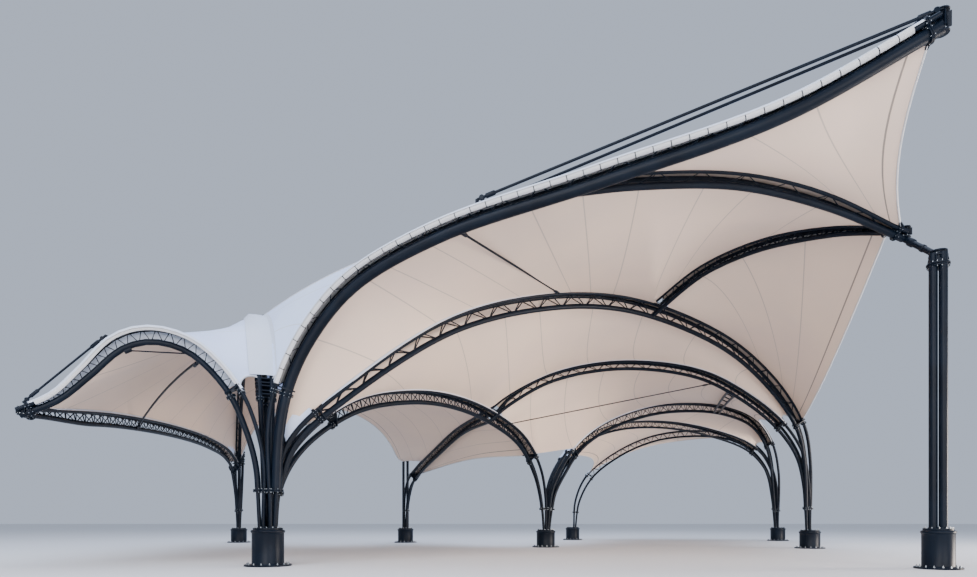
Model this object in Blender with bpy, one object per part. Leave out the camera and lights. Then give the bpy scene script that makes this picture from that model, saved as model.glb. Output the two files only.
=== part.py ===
"""Large tensile fabric canopy on tree columns: steel arches, drums, a mast and stretched sheets.

Metres, +Z up.  The origin is on the ground under the front column; +X runs to the mast side
and +Y runs back from the tall front rail.  Each arch is a three-chord truss whose chords run
down into a column's tree of legs.
"""
import math
from bisect import bisect_right

import bmesh
import bpy
from mathutils import Vector

# Ground plan: where each column stands, measured from the front column.
COLUMNS = {
    "front": (0.0, 0.0),
    "wing": (-9.05, 21.25),
    "rear": (1.5, 21.25),
    "middle": (9.75, 14.1),
    "far": (12.8, 26.8),
    "corner": (26.7, 24.9),
    "side": (22.8, 12.55),
    "mast": (19.7, -1.2),
}
WING_TIP = Vector((-6.15, -1.9, 4.42))
FRONT_TIP = Vector((17.2, -4.92, 12.88))
PEAK = Vector((19.5, 0.0, 10.2))

# Drums under the columns.
TALL_DRUMS = ("front", "mast")
TALL_DRUM = 1.1
DRUM = 0.85
DRUM_RADIUS = 0.475
RIM_RADIUS = 0.505
RIM_HEIGHT = 0.08
FOOT_RADIUS = 0.70
MAST_DRUM = 0.87
FOOT_THICK = 0.07
DRUM_SIDES = 16

# Trusses: two upper chords over one lower chord, closer together at a column.
TUBE_SIDES = 6
WIDTH = 0.42
ROOT_SHARE = 0.42
BRACE = 0.09
BRANCH_WIDTH = 0.34
LEG_STEP = 1.3
BAY = 2.6
HEAD_PLATE_RADIUS = 0.44
HEAD_PLATE = 0.06
GAP = 0.0003
CUT = 0.0004

# Mast and tip pieces.
MAST_TUBE = 0.112
MAST_SPREAD = 0.17
MAST_TURN = math.radians(10.3)
MAST_TOP = 9.15
MAST_HEAD = (0.3, 0.5)
# Where arches end in the air: the point, the node's radius and height, and how much of the
# truss's width is left there.
TIPS = {
    "wing_tip_node": (WING_TIP, 0.25, 0.6, 0.45),
    "front_tip_node": (FRONT_TIP, 0.24, 0.66, 0.75),
    "peak_node": (PEAK, 0.27, 0.76, 0.62),
}
STRUT_RADIUS = 0.09
TIE_RADIUS = 0.05
ROD_RADIUS = 0.035
LINK_WIDTH = 0.34
LINK_RADIUS = 0.06

# The rear column also has two upright tubes under a round head, where a sheet's corner is held.
POST_COLUMN = "rear"
POST_SPREAD = 0.13
POST_RADIUS = 0.08
POST_HEAD = (0.24, 0.12)
POST_CORNER = Vector((*COLUMNS[POST_COLUMN], 5.2))

# Stretched sheets.
SHEET_THICK = 0.03
SHEET_ROWS = 6
SHEET_STEP = 1.9
EDGE_INSET = 0.03

STEEL = (0.012, 0.022, 0.035)
CLOTH = (0.78, 0.72, 0.68)

# Each arch: where it starts and ends, the line its guide follows (the upper or the lower
# chords), the guide as (distance along the plan line, height), how long its legs are in the
# column's tree at either end, how far the middle leans to the left of the plan line, its
# size (depth, radius of the upper chords, radius of the lower one), and the length over
# which it grows to that size from either end.
ARCHES = {
    "front_rail": {
        "ends": ("front", FRONT_TIP), "line": "low", "legs": (4.1, 0.0), "lean": 0.0,
        "size": (0.30, 0.07, 0.16), "taper": (4.0, 9.0),
        "ties": (6.8,),
        "guide": [(0.30, 1.1), (0.31, 2.7), (0.42, 4.2), (0.75, 5.5), (1.5, 6.85), (2.9, 8.25),
                  (5.6, 9.4), (10.1, 10.3), (14.6, 11.3), (17.9, 12.75)],
    },
    "wing_rail": {
        "ends": ("front", WING_TIP), "line": "low", "legs": (4.1, 0.0), "lean": 0.0,
        "size": (0.34, 0.06, 0.09), "taper": (4.0, 4.0),
        "ties": (2.3, 4.1),
        "guide": [(0.30, 1.1), (0.33, 2.9), (0.66, 4.2), (1.2, 5.35), (2.2, 6.35), (3.15, 6.6),
                  (3.95, 6.35), (4.8, 5.5), (5.6, 4.75), (6.5, 4.3)],
    },
    "wing_back": {
        "ends": (WING_TIP, "wing"), "line": "up", "legs": (0.0, 3.9), "lean": 0.0,
        "size": (0.40, 0.07, 0.08), "taper": (4.0, 4.0),
        "guide": [(0.05, 4.5), (5.4, 5.2), (12.0, 5.65), (17.0, 5.7), (20.5, 5.4), (22.2, 4.7),
                  (23.05, 3.2), (23.2, 0.85)],
    },
    "ridge": {
        "ends": ("front", "wing"), "line": "up", "legs": (4.1, 4.1), "lean": 0.0,
        "size": (0.46, 0.08, 0.1), "taper": (6.0, 4.0),
        "guide": [(0.15, 1.1), (0.46, 4.2), (0.9, 5.8), (2.3, 7.7), (5.5, 9.2), (11.5, 10.2),
                  (17.6, 9.2), (20.8, 7.7), (22.4, 5.8), (22.93, 4.2), (22.95, 0.85)],
    },
    "main": {
        "ends": ("front", "side"), "line": "up", "legs": (4.0, 5.4), "lean": 0.0,
        "size": (0.46, 0.08, 0.1), "taper": (12.0, 9.0),
        "guide": [(0.1, 1.1), (0.15, 2.4), (0.66, 3.9), (2.3, 5.6), (6.2, 8.5), (10.4, 10.0),
                  (14.2, 10.5), (18.4, 10.05), (21.2, 9.2), (23.9, 7.6), (25.4, 6.0), (25.88, 4.3),
                  (25.93, 0.85)],
    },
    "cross": {
        "ends": ("front", "middle"), "line": "up", "legs": (4.6, 4.0), "lean": 0.0,
        "size": (0.45, 0.07, 0.095), "taper": (6.0, 4.0),
        "guide": [(0.1, 1.1), (0.3, 2.6), (1.2, 4.0), (3.3, 5.5), (6.2, 6.35), (9.0, 6.6),
                  (12.0, 6.3), (14.8, 5.4), (16.3, 4.0), (16.9, 2.5), (17.04, 0.85)],
    },
    "rear_half": {
        "ends": ("rear", ("cross", 12.0, "left")), "line": "up", "legs": (4.0, 0.0), "lean": 0.0,
        "size": (0.29, 0.07, 0.075), "taper": (4.0, 4.0),
        "guide": [(0.1, 0.85), (0.15, 2.4), (0.9, 3.7), (3.0, 4.55), (6.1, 5.35), (9.0, 6.0), (12.3, 6.35)],
    },
    "inner": {
        "ends": (("cross", 12.0, "right"), "side"), "line": "up", "legs": (0.0, 5.6), "lean": 0.0,
        "size": (0.42, 0.07, 0.08), "taper": (4.0, 6.0),
        "skew": -0.13,
        "guide": [(0.25, 6.5), (0.9, 7.1), (2.9, 8.2), (6.3, 8.9), (10.3, 8.6), (12.8, 7.5),
                  (14.7, 6.1), (15.7, 4.7), (16.05, 3.2), (16.1, 0.85)],
    },
    "diagonal": {
        "ends": ("middle", "corner"), "line": "up", "legs": (4.6, 5.8), "lean": 0.0,
        "size": (0.46, 0.08, 0.09), "taper": (4.0, 4.0),
        "guide": [(0.1, 0.85), (0.3, 2.9), (0.95, 4.2), (2.0, 5.5), (3.8, 6.7), (6.9, 7.85),
                  (10.3, 8.5), (14.5, 8.65), (17.6, 8.0), (19.2, 6.6), (19.85, 4.8), (20.0, 0.85)],
    },
    "bowed": {
        "ends": ("middle", "corner"), "line": "up", "legs": (4.6, 5.8), "lean": 3.0,
        "size": (0.40, 0.07, 0.07), "taper": (4.0, 4.0),
        "guide": [(0.1, 0.85), (0.3, 2.9), (1.2, 4.2), (3.8, 6.1), (7.6, 7.4), (12.0, 7.9),
                  (15.5, 7.5), (18.2, 6.5), (19.5, 5.0), (19.9, 3.4), (20.0, 0.85)],
    },
    "far_arch": {
        "ends": ("far", "corner"), "line": "up", "legs": (3.9, 6.4), "lean": 0.0,
        "size": (0.40, 0.07, 0.07), "taper": (4.0, 4.0),
        "guide": [(0.1, 0.85), (0.2, 2.8), (1.0, 4.6), (3.1, 6.3), (5.7, 7.4), (8.8, 7.7),
                  (11.1, 7.35), (12.8, 6.3), (13.7, 4.7), (13.93, 3.0), (13.93, 0.85)],
    },
    "brow": {
        "ends": (("front_rail", 9.0, "left"), PEAK), "line": "low", "legs": (0.0, 0.0), "lean": 0.0,
        "size": (0.28, 0.07, 0.1), "taper": (4.0, 4.0),
        "guide": [(0.0, 10.1), (2.3, 10.6), (5.5, 10.95), (8.5, 10.65), (11.05, 10.0)],
    },
    "rib": {
        "ends": (("main", 15.6, "right"), PEAK), "line": "up", "legs": (0.0, 0.0), "lean": 0.0,
        "size": (0.28, 0.07, 0.08), "taper": (4.0, 4.0),
        "guide": [(0.2, 10.5), (2.4, 11.3), (4.9, 11.5), (7.4, 11.1), (9.3, 10.45)],
    },
}

# Plain members: (arch, chord, distance) or a point in an end node, and the tube radius.
MEMBERS = {
    "tie_front_near": (("front_rail", "right", 6.8), FRONT_TIP + Vector((-0.03, -0.1, 0.24)), TIE_RADIUS),
    "tie_front_far": (("front_rail", "left", 6.8), FRONT_TIP + Vector((0.03, 0.1, 0.24)), TIE_RADIUS),
    "tie_wing": (("wing_rail", "left", 4.1), WING_TIP + Vector((0.0, 0.0, 0.23)), TIE_RADIUS),
    "strut_wing": (("wing_rail", "low", 1.9), ("wing_back", "low", 7.4), TIE_RADIUS),
    "strut_roof": (("front_rail", "low", 6.0), ("main", "right", 10.6), TIE_RADIUS),
    "tie_rod": (("cross", "low", 12.6), ("inner", "low", 11.0), ROD_RADIUS),
}
HANG = 0.2
TIE_LIFT = 0.2
STRUT_BOW = 0.25
LINK = (("inner", "low", 12.1), ("diagonal", "low", 13.5), 0.1)

# Sheets: the two long edges as runs of (arch, chord, from, to) in metres along the arch's
# length (negative counts back from its end) or a corner point, how much the cloth dips
# between them, and how deep the free or scalloped edges cut in at the first and last end.
SHEETS = {
    "sheet_wing": ([("ridge", "left", 4.95, -4.5)],
                   [("wing_rail", "right", 4.3, -0.4), ("wing_back", "right", 0.4, -4.7)], 0.015, 0.25, 0.8),
    "sheet_saddle": ([("ridge", "right", 4.95, 11.6)], [("front_rail", "left", 4.4, 10.2)], -0.03, 0.2, 0.1),
    "sheet_roof": ([("front_rail", "left", 3.4, 14.14), ("brow", "left", 0.0, -0.3)],
                   [("main", "right", 3.4, 19.98), ("rib", "right", 0.0, -0.3)], 0.012, 0.3, 0.0),
    "sheet_tip": ([("front_rail", "left", 15.2, -0.25)], [("brow", "right", 0.7, -0.25)], 0.05, 0.0, 0.6),
    "sheet_side": ([("rib", "left", 0.4, -0.3)], [("main", "right", 20.6, -5.6)], 0.05, 0.0, 0.5),
    "sheet_middle": ([("main", "left", 3.4, -5.6)],
                     [("cross", "right", 4.8, 14.2), ("inner", "right", 0.3, -5.8)], 0.05, 0.3, 0.5),
    "sheet_rear": ([("ridge", "low", 4.9, -4.6)],
                   [("cross", "left", 4.8, 14.2), ("rear_half", "right", -0.4, 6.2), POST_CORNER],
                   0.05, 0.4, 8.5),
    "sheet_inner": ([("rear_half", "left", 4.2, -0.6)], [("cross", "left", -4.2, 15.4)], 0.05, 1.6, 0.0),
    "sheet_field": ([("inner", "left", 0.4, -5.8)],
                    [("cross", "right", 15.4, -4.2), ("diagonal", "right", 4.8, -6.0)], 0.02, 0.0, 1.6),
    "sheet_band": ([("diagonal", "left", 4.9, -6.0)], [("bowed", "right", 4.9, -6.0)], 0.03, 0.3, 0.3),
    "sheet_back": ([("bowed", "left", 4.9, -6.0)], [("far_arch", "right", 4.1, -6.6)], 0.05, 1.8, 0.4),
    "sheet_verge": ([("far_arch", "left", 4.1, -6.6)], None, 0.03, 0.2, 0.2),
}
VERGE_REACH = 1.25
VERGE_DROP = 0.55


def smooth_step(t):
    t = min(max(t, 0.0), 1.0)
    return t * t * (3 - 2 * t)


def curve_through(points, per_span=12):
    """A smooth curve through 2-D points, as many short steps."""
    pts = [Vector(p) for p in points]
    pts = [pts[0] * 2 - pts[1]] + pts + [pts[-1] * 2 - pts[-2]]
    out = []
    for a, b, c, d in zip(pts, pts[1:], pts[2:], pts[3:]):
        ta, tb, tc = ((q - p).length ** 0.5 for p, q in ((a, b), (b, c), (c, d)))
        slope_b = (c - b) / tb - (c - a) / (ta + tb) + (b - a) / ta
        slope_c = (d - c) / tc - (d - b) / (tb + tc) + (c - b) / tb
        for i in range(per_span):
            t = i / per_span
            out.append((2 * t**3 - 3 * t**2 + 1) * b + (t**3 - 2 * t**2 + t) * slope_b * tb
                       + (3 * t**2 - 2 * t**3) * c + (t**3 - t**2) * slope_c * tb)
    out.append(pts[-2])
    return out


def lengths_of(points):
    total = [0.0]
    for a, b in zip(points, points[1:]):
        total.append(total[-1] + (b - a).length)
    return total


def along(points, lengths, at):
    """The point at a given length along a polyline."""
    at = min(max(at, 0.0), lengths[-1])
    i = min(bisect_right(lengths, at) - 1, len(points) - 2)
    share = (at - lengths[i]) / max(lengths[i + 1] - lengths[i], 1e-9)
    return points[i].lerp(points[i + 1], share)


def plan_point(end):
    if isinstance(end, str):
        return Vector((*COLUMNS[end], 0.0))
    if isinstance(end, tuple):
        arch, distance, _ = end
        start = plan_point(ARCHES[arch]["ends"][0])
        heading = (plan_point(ARCHES[arch]["ends"][1]) - start).normalized()
        return start + heading * distance
    return Vector((end.x, end.y, 0.0))


class Arch:
    """The chord lines of one arch, from base to base, with its stations."""

    def __init__(self, name):
        self.name = name
        self.plan = ARCHES[name]
        start, end = (plan_point(e) for e in self.plan["ends"])
        heading = (end - start).normalized()
        self.left = Vector((-heading.y, heading.x, 0.0))
        span = (end - start).length
        flat = curve_through(self.plan["guide"])
        lean = self.plan["lean"]
        dense = [start + heading * p.x + Vector((0, 0, p.y))
                 + self.left * lean * math.sin(math.pi * min(max(p.x / span, 0), 1)) for p in flat]
        run = lengths_of(dense)
        self.length = run[-1]
        self.distances = [p.x for p in flat]
        self.run = run
        self.stations = self.station_list()
        self.chords = {"left": [], "right": [], "low": []}
        self.frames = []
        for at in self.stations:
            here = along(dense, run, at)
            ahead = along(dense, run, at + 0.05) - along(dense, run, at - 0.05)
            heading_here = ahead.normalized()
            side = (self.left - heading_here * self.left.dot(heading_here)).normalized()
            up = heading_here.cross(side)
            share = self.share(at)
            depth = self.plan["size"][0] * share
            base = here if self.plan["line"] == "up" else here + up * depth
            self.chords["left"].append(base + side * WIDTH / 2 * share)
            self.chords["right"].append(base - side * WIDTH / 2 * share)
            self.chords["low"].append(base - up * depth)
            self.frames.append((heading_here, side, up))

    def station_list(self):
        """Stations along the arch: short steps in the legs, even bays between, and any
        branching arch at the middle of a bay."""
        first, last = self.plan["legs"]
        stations = []
        if first:
            steps = max(round(first / LEG_STEP), 1)
            stations += [first * i / steps for i in range(steps)]
        stops = [first]
        for other in ARCHES.values():
            for end in other["ends"]:
                if isinstance(end, tuple) and end[0] == self.name:
                    at = self.length_at(end[1])
                    stops += [at - BAY / 2, at + BAY / 2]
        stops += [self.length_at(distance) for distance in self.plan.get("ties", ())]
        stops = sorted(set(stops + [self.length - last]))
        for a, b in zip(stops, stops[1:]):
            bays = max(round((b - a) / BAY), 1)
            stations += [a + (b - a) * i / bays for i in range(bays)]
        stations.append(stops[-1])
        if last:
            steps = max(round(last / LEG_STEP), 1)
            stations += [self.length - last + last * i / steps for i in range(1, steps + 1)]
        return stations

    def middle_of_bay(self, at):
        """The length at the middle of the bay that holds a given length."""
        i = min(max(bisect_right(self.stations, at) - 1, 0), len(self.stations) - 2)
        return (self.stations[i] + self.stations[i + 1]) / 2

    def path(self, chord, picks):
        """The centres and frames that a chord's tube runs through: two at each brace."""
        first, last = self.plan["legs"]
        out = []
        for i in picks:
            at = self.stations[i]
            here = self.chords[chord][i]
            braced = first + 0.01 < at < self.length - last - 0.01
            for s in (-0.5, 0.5) if braced else (0.0,):
                out.append((here + self.frames[i][0] * BRACE * s, self.frames[i]))
        return out

    def share(self, at):
        """How much of its full width and depth the truss has at a length along it."""
        share = 1.0
        for end, gone, taper in zip(self.plan["ends"], (at, self.length - at), self.plan["taper"]):
            if isinstance(end, str):
                share = min(share, ROOT_SHARE + (1 - ROOT_SHARE) * smooth_step(gone / taper))
            elif isinstance(end, Vector):
                tip = next(t[3] for t in TIPS.values() if t[0] == end)
                share = min(share, tip + (1 - tip) * smooth_step(gone / taper))
        return share

    def radius(self, chord):
        return self.plan["size"][2 if chord == "low" else 1]

    def length_at(self, distance):
        """Length along the arch at a distance along its plan line."""
        for i, d in enumerate(self.distances):
            if d >= distance:
                return self.run[i]
        return self.run[-1]

    def point(self, chord, at):
        if at < 0:
            at += self.length
        i = min(max(bisect_right(self.stations, at) - 1, 0), len(self.stations) - 2)
        share = (at - self.stations[i]) / (self.stations[i + 1] - self.stations[i])
        return self.chords[chord][i].lerp(self.chords[chord][i + 1], share)


def ring(bm, centre, side, up, radius, count=TUBE_SIDES):
    """A ring whose flats face along side, and every equal turn from it."""
    size = radius / math.cos(math.pi / count)
    verts = []
    for i in range(count):
        angle = (i + 0.5) * 2 * math.pi / count
        verts.append(bm.verts.new(centre + side * math.cos(angle) * size + up * math.sin(angle) * size))
    return verts


def join_rings(bm, a, b, skip=()):
    count = len(a)
    for i in range(count):
        if (i + 1) % count not in skip:
            j = (i + 1) % count
            bm.faces.new((a[i], a[j], b[j]))
            bm.faces.new((a[i], b[j], b[i]))


def new_object(name, bm, material, smooth=True):
    bmesh.ops.recalc_face_normals(bm, faces=bm.faces)
    mesh = bpy.data.meshes.new(name)
    bm.to_mesh(mesh)
    bm.free()
    if smooth:
        mesh.shade_smooth()
        mesh.set_sharp_from_angle(angle=math.radians(35))
    obj = bpy.data.objects.new(name, mesh)
    bpy.context.scene.collection.objects.link(obj)
    mesh.materials.append(material)
    return obj


def paint(name, colour, roughness, metallic=0.0):
    material = bpy.data.materials.new(name)
    material.use_nodes = True
    shader = material.node_tree.nodes["Principled BSDF"]
    shader.inputs["Base Color"].default_value = (*colour, 1.0)
    shader.inputs["Roughness"].default_value = roughness
    shader.inputs["Metallic"].default_value = metallic
    return material


def carried_frames(points):
    """Heading, side and up at each point of a polyline, carried along without a twist."""
    first = (points[1] - points[0]).normalized()
    side = first.cross(Vector((0, 0, 1)))
    side = side.normalized() if side.length > 0.05 else Vector((1, 0, 0))
    frames = []
    for i in range(len(points)):
        before = (points[i] - points[max(i - 1, 0)]).normalized()
        after = (points[min(i + 1, len(points) - 1)] - points[i]).normalized()
        heading = (before + after).normalized()
        side = (side - heading * side.dot(heading)).normalized()
        frames.append((heading, side, side.cross(heading)))
    return frames


def tube_mesh(bm, points, radius, frames=None, count=TUBE_SIDES):
    rings = []
    for p, (_, side, up) in zip(points, frames or carried_frames(points)):
        rings.append(ring(bm, p, side, up, radius, count))
    for a, b in zip(rings, rings[1:]):
        join_rings(bm, a, b)
    bm.faces.new(rings[0])
    bm.faces.new(rings[-1])


def tube(name, points, radius, material, frames=None, count=TUBE_SIDES):
    bm = bmesh.new()
    tube_mesh(bm, points, radius, frames, count)
    return new_object(name, bm, material)


def cutter(obj, collection=None):
    """A solid that only cuts or joins: it stays out of the model."""
    obj.hide_render = True
    obj.display_type = "WIRE"
    if collection:
        bpy.context.scene.collection.objects.unlink(obj)
        collection.objects.link(obj)
    return obj


def boolean(obj, other, operation="DIFFERENCE"):
    modifier = obj.modifiers.new(operation.lower() + "_" + other.name, "BOOLEAN")
    modifier.operation = operation
    modifier.solver = "EXACT"
    if isinstance(other, bpy.types.Collection):
        modifier.operand_type = "COLLECTION"
        modifier.collection = other
        modifier.use_self = True
    else:
        modifier.object = other


# Each brace of a frame: the chords it joins, the face of each and that face's corners.
BRACES = (
    (("left", 3, (2, 3)), ("right", 0, (0, 5))),
    (("low", 1, (0, 1)), ("left", 4, (4, 3))),
    (("low", 2, (2, 1)), ("right", 5, (4, 5))),
)
JOINED = {"left": (3, 4), "right": (0, 5), "low": (1, 2)}


def truss(arch, material):
    """The trussed part of an arch: three chords held apart by a triangular frame at each
    station.  The fine zigzag between the frames is left off."""
    first, last = arch.plan["legs"]
    picks = [i for i, at in enumerate(arch.stations) if first - 0.01 <= at <= arch.length - last + 0.01]
    bm = bmesh.new()
    knots = [{} for _ in picks]
    for chord in ("left", "right", "low"):
        radius = arch.radius(chord)
        before = None
        for n, i in enumerate(picks):
            heading, side, up = arch.frames[i]
            centre = arch.chords[chord][i]
            if n in (0, len(picks) - 1):
                shift = GAP if (n == 0 and first) else -GAP if (n and last) else 0.0
                near = far = ring(bm, centre + heading * shift, side, up, radius)
                bm.faces.new(near)
            else:
                near, far = (ring(bm, centre + heading * BRACE * s, side, up, radius) for s in (-0.5, 0.5))
                join_rings(bm, near, far, skip=JOINED[chord])
                knots[n][chord] = (near, far)
            if before:
                join_rings(bm, before, near)
            before = far
    for knot in knots[1:-1]:
        for ends in BRACES:
            loops = []
            for chord, _, (a, b) in ends:
                near, far = knot[chord]
                loops.append((near[a], far[a], far[b], near[b]))
            for i in range(4):
                j = (i + 1) % 4
                bm.faces.new((loops[0][i], loops[0][j], loops[1][j], loops[1][i]))
    return new_object("arch_" + arch.name, bm, material)


def branch_ends(arch, arches):
    """Chords that spring from another arch start inside that arch's chords."""
    for end, index in zip(arch.plan["ends"], (0, -1)):
        if not isinstance(end, tuple):
            continue
        host = arches[end[0]]
        at = host.length_at(end[1])
        along_host = (host.point("low", at + 0.5) - host.point("low", at - 0.5)).normalized()
        across = arch.left.dot(along_host)
        shift = BRANCH_WIDTH / 2 / across
        skew = arch.plan.get("skew", 0.0)
        arch.chords["low"][index] = host.point("low", at)
        arch.chords["left"][index] = host.point(end[2], at + skew + shift)
        arch.chords["right"][index] = host.point(end[2], at + skew - shift)


def chord_cutter(arch, chord, tools):
    """An arch's chord from base to base, a hair fatter, to trim what meets it."""
    if (arch.name, chord) not in tools:
        path = arch.path(chord, range(len(arch.stations)))
        obj = tube("cut_" + arch.name + "_" + chord, [p for p, _ in path], arch.radius(chord) + CUT,
                   None, [f for _, f in path])
        tools[arch.name, chord] = cutter(obj)
    return tools[arch.name, chord]


def tree(column, arches, material):
    """The legs that stand on one drum: welded together on a head plate."""
    x, y = COLUMNS[column]
    foot = drum_top(column) + GAP
    group = bpy.data.collections.new("legs_" + column)
    bpy.context.scene.collection.children.link(group)
    for arch in arches.values():
        for which, end in enumerate(arch.plan["ends"]):
            if end != column:
                continue
            legs = arch.plan["legs"][which]
            if which == 0:
                picks = [i for i, at in enumerate(arch.stations) if at <= legs + 0.01]
            else:
                picks = [i for i, at in enumerate(arch.stations) if at >= arch.length - legs - 0.01][::-1]
            for chord in ("left", "right", "low"):
                points = [arch.chords[chord][i].copy() for i in picks]
                points[0].z = foot + HEAD_PLATE / 2
                frames = [arch.frames[i] for i in picks]
                cutter(tube("leg_%s_%s_%d" % (arch.name, chord, which), points, arch.radius(chord),
                            material, frames), group)
    if column == POST_COLUMN:
        for shift in (-POST_SPREAD, POST_SPREAD):
            points = [Vector((x + shift, y, z)) for z in (foot + 0.01, POST_CORNER.z)]
            cutter(tube("post_%d" % (shift > 0), points, POST_RADIUS, material), group)
        cutter(tip_node("post_head", POST_CORNER, *POST_HEAD, material), group)
    bm = bmesh.new()
    disc(bm, x, y, foot, foot + HEAD_PLATE, HEAD_PLATE_RADIUS)
    obj = new_object("tree_" + column, bm, material)
    boolean(obj, group, "UNION")
    return obj


def disc(bm, x, y, low, high, radius, count=DRUM_SIDES):
    points = [Vector((x, y, low)), Vector((x, y, high))]
    frames = [(None, Vector((1, 0, 0)), Vector((0, 1, 0)))] * 2
    tube_mesh(bm, points, radius, frames, count)


def drum_top(column):
    return TALL_DRUM if column in TALL_DRUMS else DRUM


def drum(column, material):
    """A turned drum on its bolted foot, with a thicker rim on top.  The mast's is slimmer."""
    x, y = COLUMNS[column]
    top = drum_top(column)
    size = MAST_DRUM if column == "mast" else 1.0
    profile = [(FOOT_RADIUS, 0.0), (FOOT_RADIUS, FOOT_THICK), (DRUM_RADIUS, FOOT_THICK),
               (DRUM_RADIUS, top - RIM_HEIGHT), (RIM_RADIUS, top - RIM_HEIGHT), (RIM_RADIUS, top)]
    bm = bmesh.new()
    rings = [ring(bm, Vector((x, y, z)), Vector((1, 0, 0)), Vector((0, 1, 0)), r * size, DRUM_SIDES)
             for r, z in profile]
    for a, b in zip(rings, rings[1:]):
        join_rings(bm, a, b)
    bm.faces.new(rings[0])
    bm.faces.new(rings[-1])
    return new_object("drum_" + column, bm, material)


def mast(material):
    """Four tubes side by side on the mast's drum, under one round head."""
    x, y = COLUMNS["mast"]
    foot = drum_top("mast") + GAP
    group = bpy.data.collections.new("mast_tubes")
    bpy.context.scene.collection.children.link(group)
    for i in range(4):
        angle = MAST_TURN + i * math.pi / 2
        spot = Vector((x + math.cos(angle) * MAST_SPREAD, y + math.sin(angle) * MAST_SPREAD, 0))
        points = [spot + Vector((0, 0, foot + 0.01)), spot + Vector((0, 0, MAST_TOP - 0.01))]
        cutter(tube("mast_tube_%d" % i, points, MAST_TUBE, material, count=8), group)
    radius, height = MAST_HEAD
    bm = bmesh.new()
    disc(bm, x, y, MAST_TOP - height, MAST_TOP, radius, 12)
    cutter(new_object("mast_head", bm, material), group)
    bm = bmesh.new()
    disc(bm, x, y, foot, foot + HEAD_PLATE, HEAD_PLATE_RADIUS * MAST_DRUM, 12)
    obj = new_object("mast_post", bm, material)
    boolean(obj, group, "UNION")
    return obj


def tip_node(name, at, radius, height, material, grow=0.0):
    bm = bmesh.new()
    disc(bm, at.x, at.y, at.z - height / 2 - grow, at.z + height / 2 + grow, radius + grow, 12)
    return new_object(name, bm, material)


def member_end(end, arches):
    """Where a plain member starts: a tie at the nearest brace, the rest at the middle of a bay."""
    if isinstance(end, Vector):
        return end, None
    arch, chord, distance = end
    host = arches[arch]
    at = host.length_at(distance)
    if chord == "low" or arch == "main":
        at = host.middle_of_bay(at)
    else:
        at = min(host.stations, key=lambda station: abs(station - at))
    return host.point(chord, at), (arch, chord)


def member(name, arches, tools, nodes, material):
    a, b, radius = MEMBERS[name]
    start, host_a = member_end(a, arches)
    finish, host_b = member_end(b, arches)
    points = [start, finish]
    if name.startswith("tie_") and name != "tie_rod":
        lift = Vector((0.0, 0.0, TIE_LIFT))
        points = [start, start + lift, finish]
    elif host_b[1] == "right":
        points.insert(1, finish - Vector((0.0, 0.0, HANG)))
    elif name == "strut_wing":
        points = [start.lerp(finish, i / 8) + Vector((0.0, 0.0, STRUT_BOW * 4 * (i / 8) * (1 - i / 8)))
                  for i in range(9)]
    obj = tube(name, points, radius, material)
    for end, host in ((start, host_a), (finish, host_b)):
        if host:
            boolean(obj, chord_cutter(arches[host[0]], host[1], tools))
        else:
            boolean(obj, min(nodes, key=lambda n: (n[1] - end).length)[0])
    return obj


def link(arches, tools, material):
    """Two curved tubes side by side with rungs, between two arches."""
    a, b, rise = LINK
    ends = []
    for end in (a, b):
        host = arches[end[0]]
        ends.append((host, end[1], host.middle_of_bay(host.length_at(end[2]))))
    start, finish = (host.point(chord, at) for host, chord, at in ends)
    side = (finish - start).cross(Vector((0, 0, 1))).normalized()
    lines = []
    for half in (LINK_WIDTH / 2, -LINK_WIDTH / 2):
        spots = []
        for host, chord, at in ends:
            along_host = (host.point(chord, at + 0.5) - host.point(chord, at - 0.5)).normalized()
            spots.append(host.point(chord, at + half / side.dot(along_host)))
        lines.append([spots[0].lerp(spots[1], i / 6) + Vector((0, 0, rise * 4 * (i / 6) * (1 - i / 6)))
                      for i in range(7)])
    group = bpy.data.collections.new("link_tubes")
    bpy.context.scene.collection.children.link(group)
    for i in (1, 3, 5):
        cutter(tube("link_rung_%d" % i, [lines[0][i], lines[1][i]], 0.04, material), group)
    cutter(tube("link_far", lines[1], LINK_RADIUS, material), group)
    obj = tube("link", lines[0], LINK_RADIUS, material)
    boolean(obj, group, "UNION")
    for host in (a, b):
        boolean(obj, chord_cutter(arches[host[0]], host[1], tools))
    return obj


def edge_line(runs, arches):
    """One long edge of a sheet: its points along the arches' chords, with each station."""
    points = []
    for run in runs:
        if isinstance(run, Vector):
            points.append(run)
            continue
        arch, chord, start, end = run
        source = arches[arch]
        a = start + source.length if start < 0 else start
        b = end + source.length if end < 0 else end
        inside = [at for at in source.stations if min(a, b) + 0.05 < at < max(a, b) - 0.05]
        for at in [a] + (inside if b > a else inside[::-1]) + [b]:
            point = source.point(chord, at)
            if not points or (point - points[-1]).length > 0.1:
                points.append(point)
    return points


def verge_line(points, side):
    """A free edge that hangs out past a chord, furthest at the middle."""
    run = lengths_of(points)
    out = []
    for p, at in zip(points, run):
        bow = math.sin(math.pi * at / run[-1])
        out.append(p + side * (0.12 + VERGE_REACH * bow**0.7) - Vector((0, 0, VERGE_DROP * bow)))
    return out


def between(anchors, value, source, target):
    """A share on one edge carried to the other, evenly between the matched points."""
    for low, high in zip(anchors, anchors[1:]):
        if value <= high[source]:
            part = (value - low[source]) / max(high[source] - low[source], 1e-9)
            return low[target] + part * (high[target] - low[target])
    return 1.0


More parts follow.
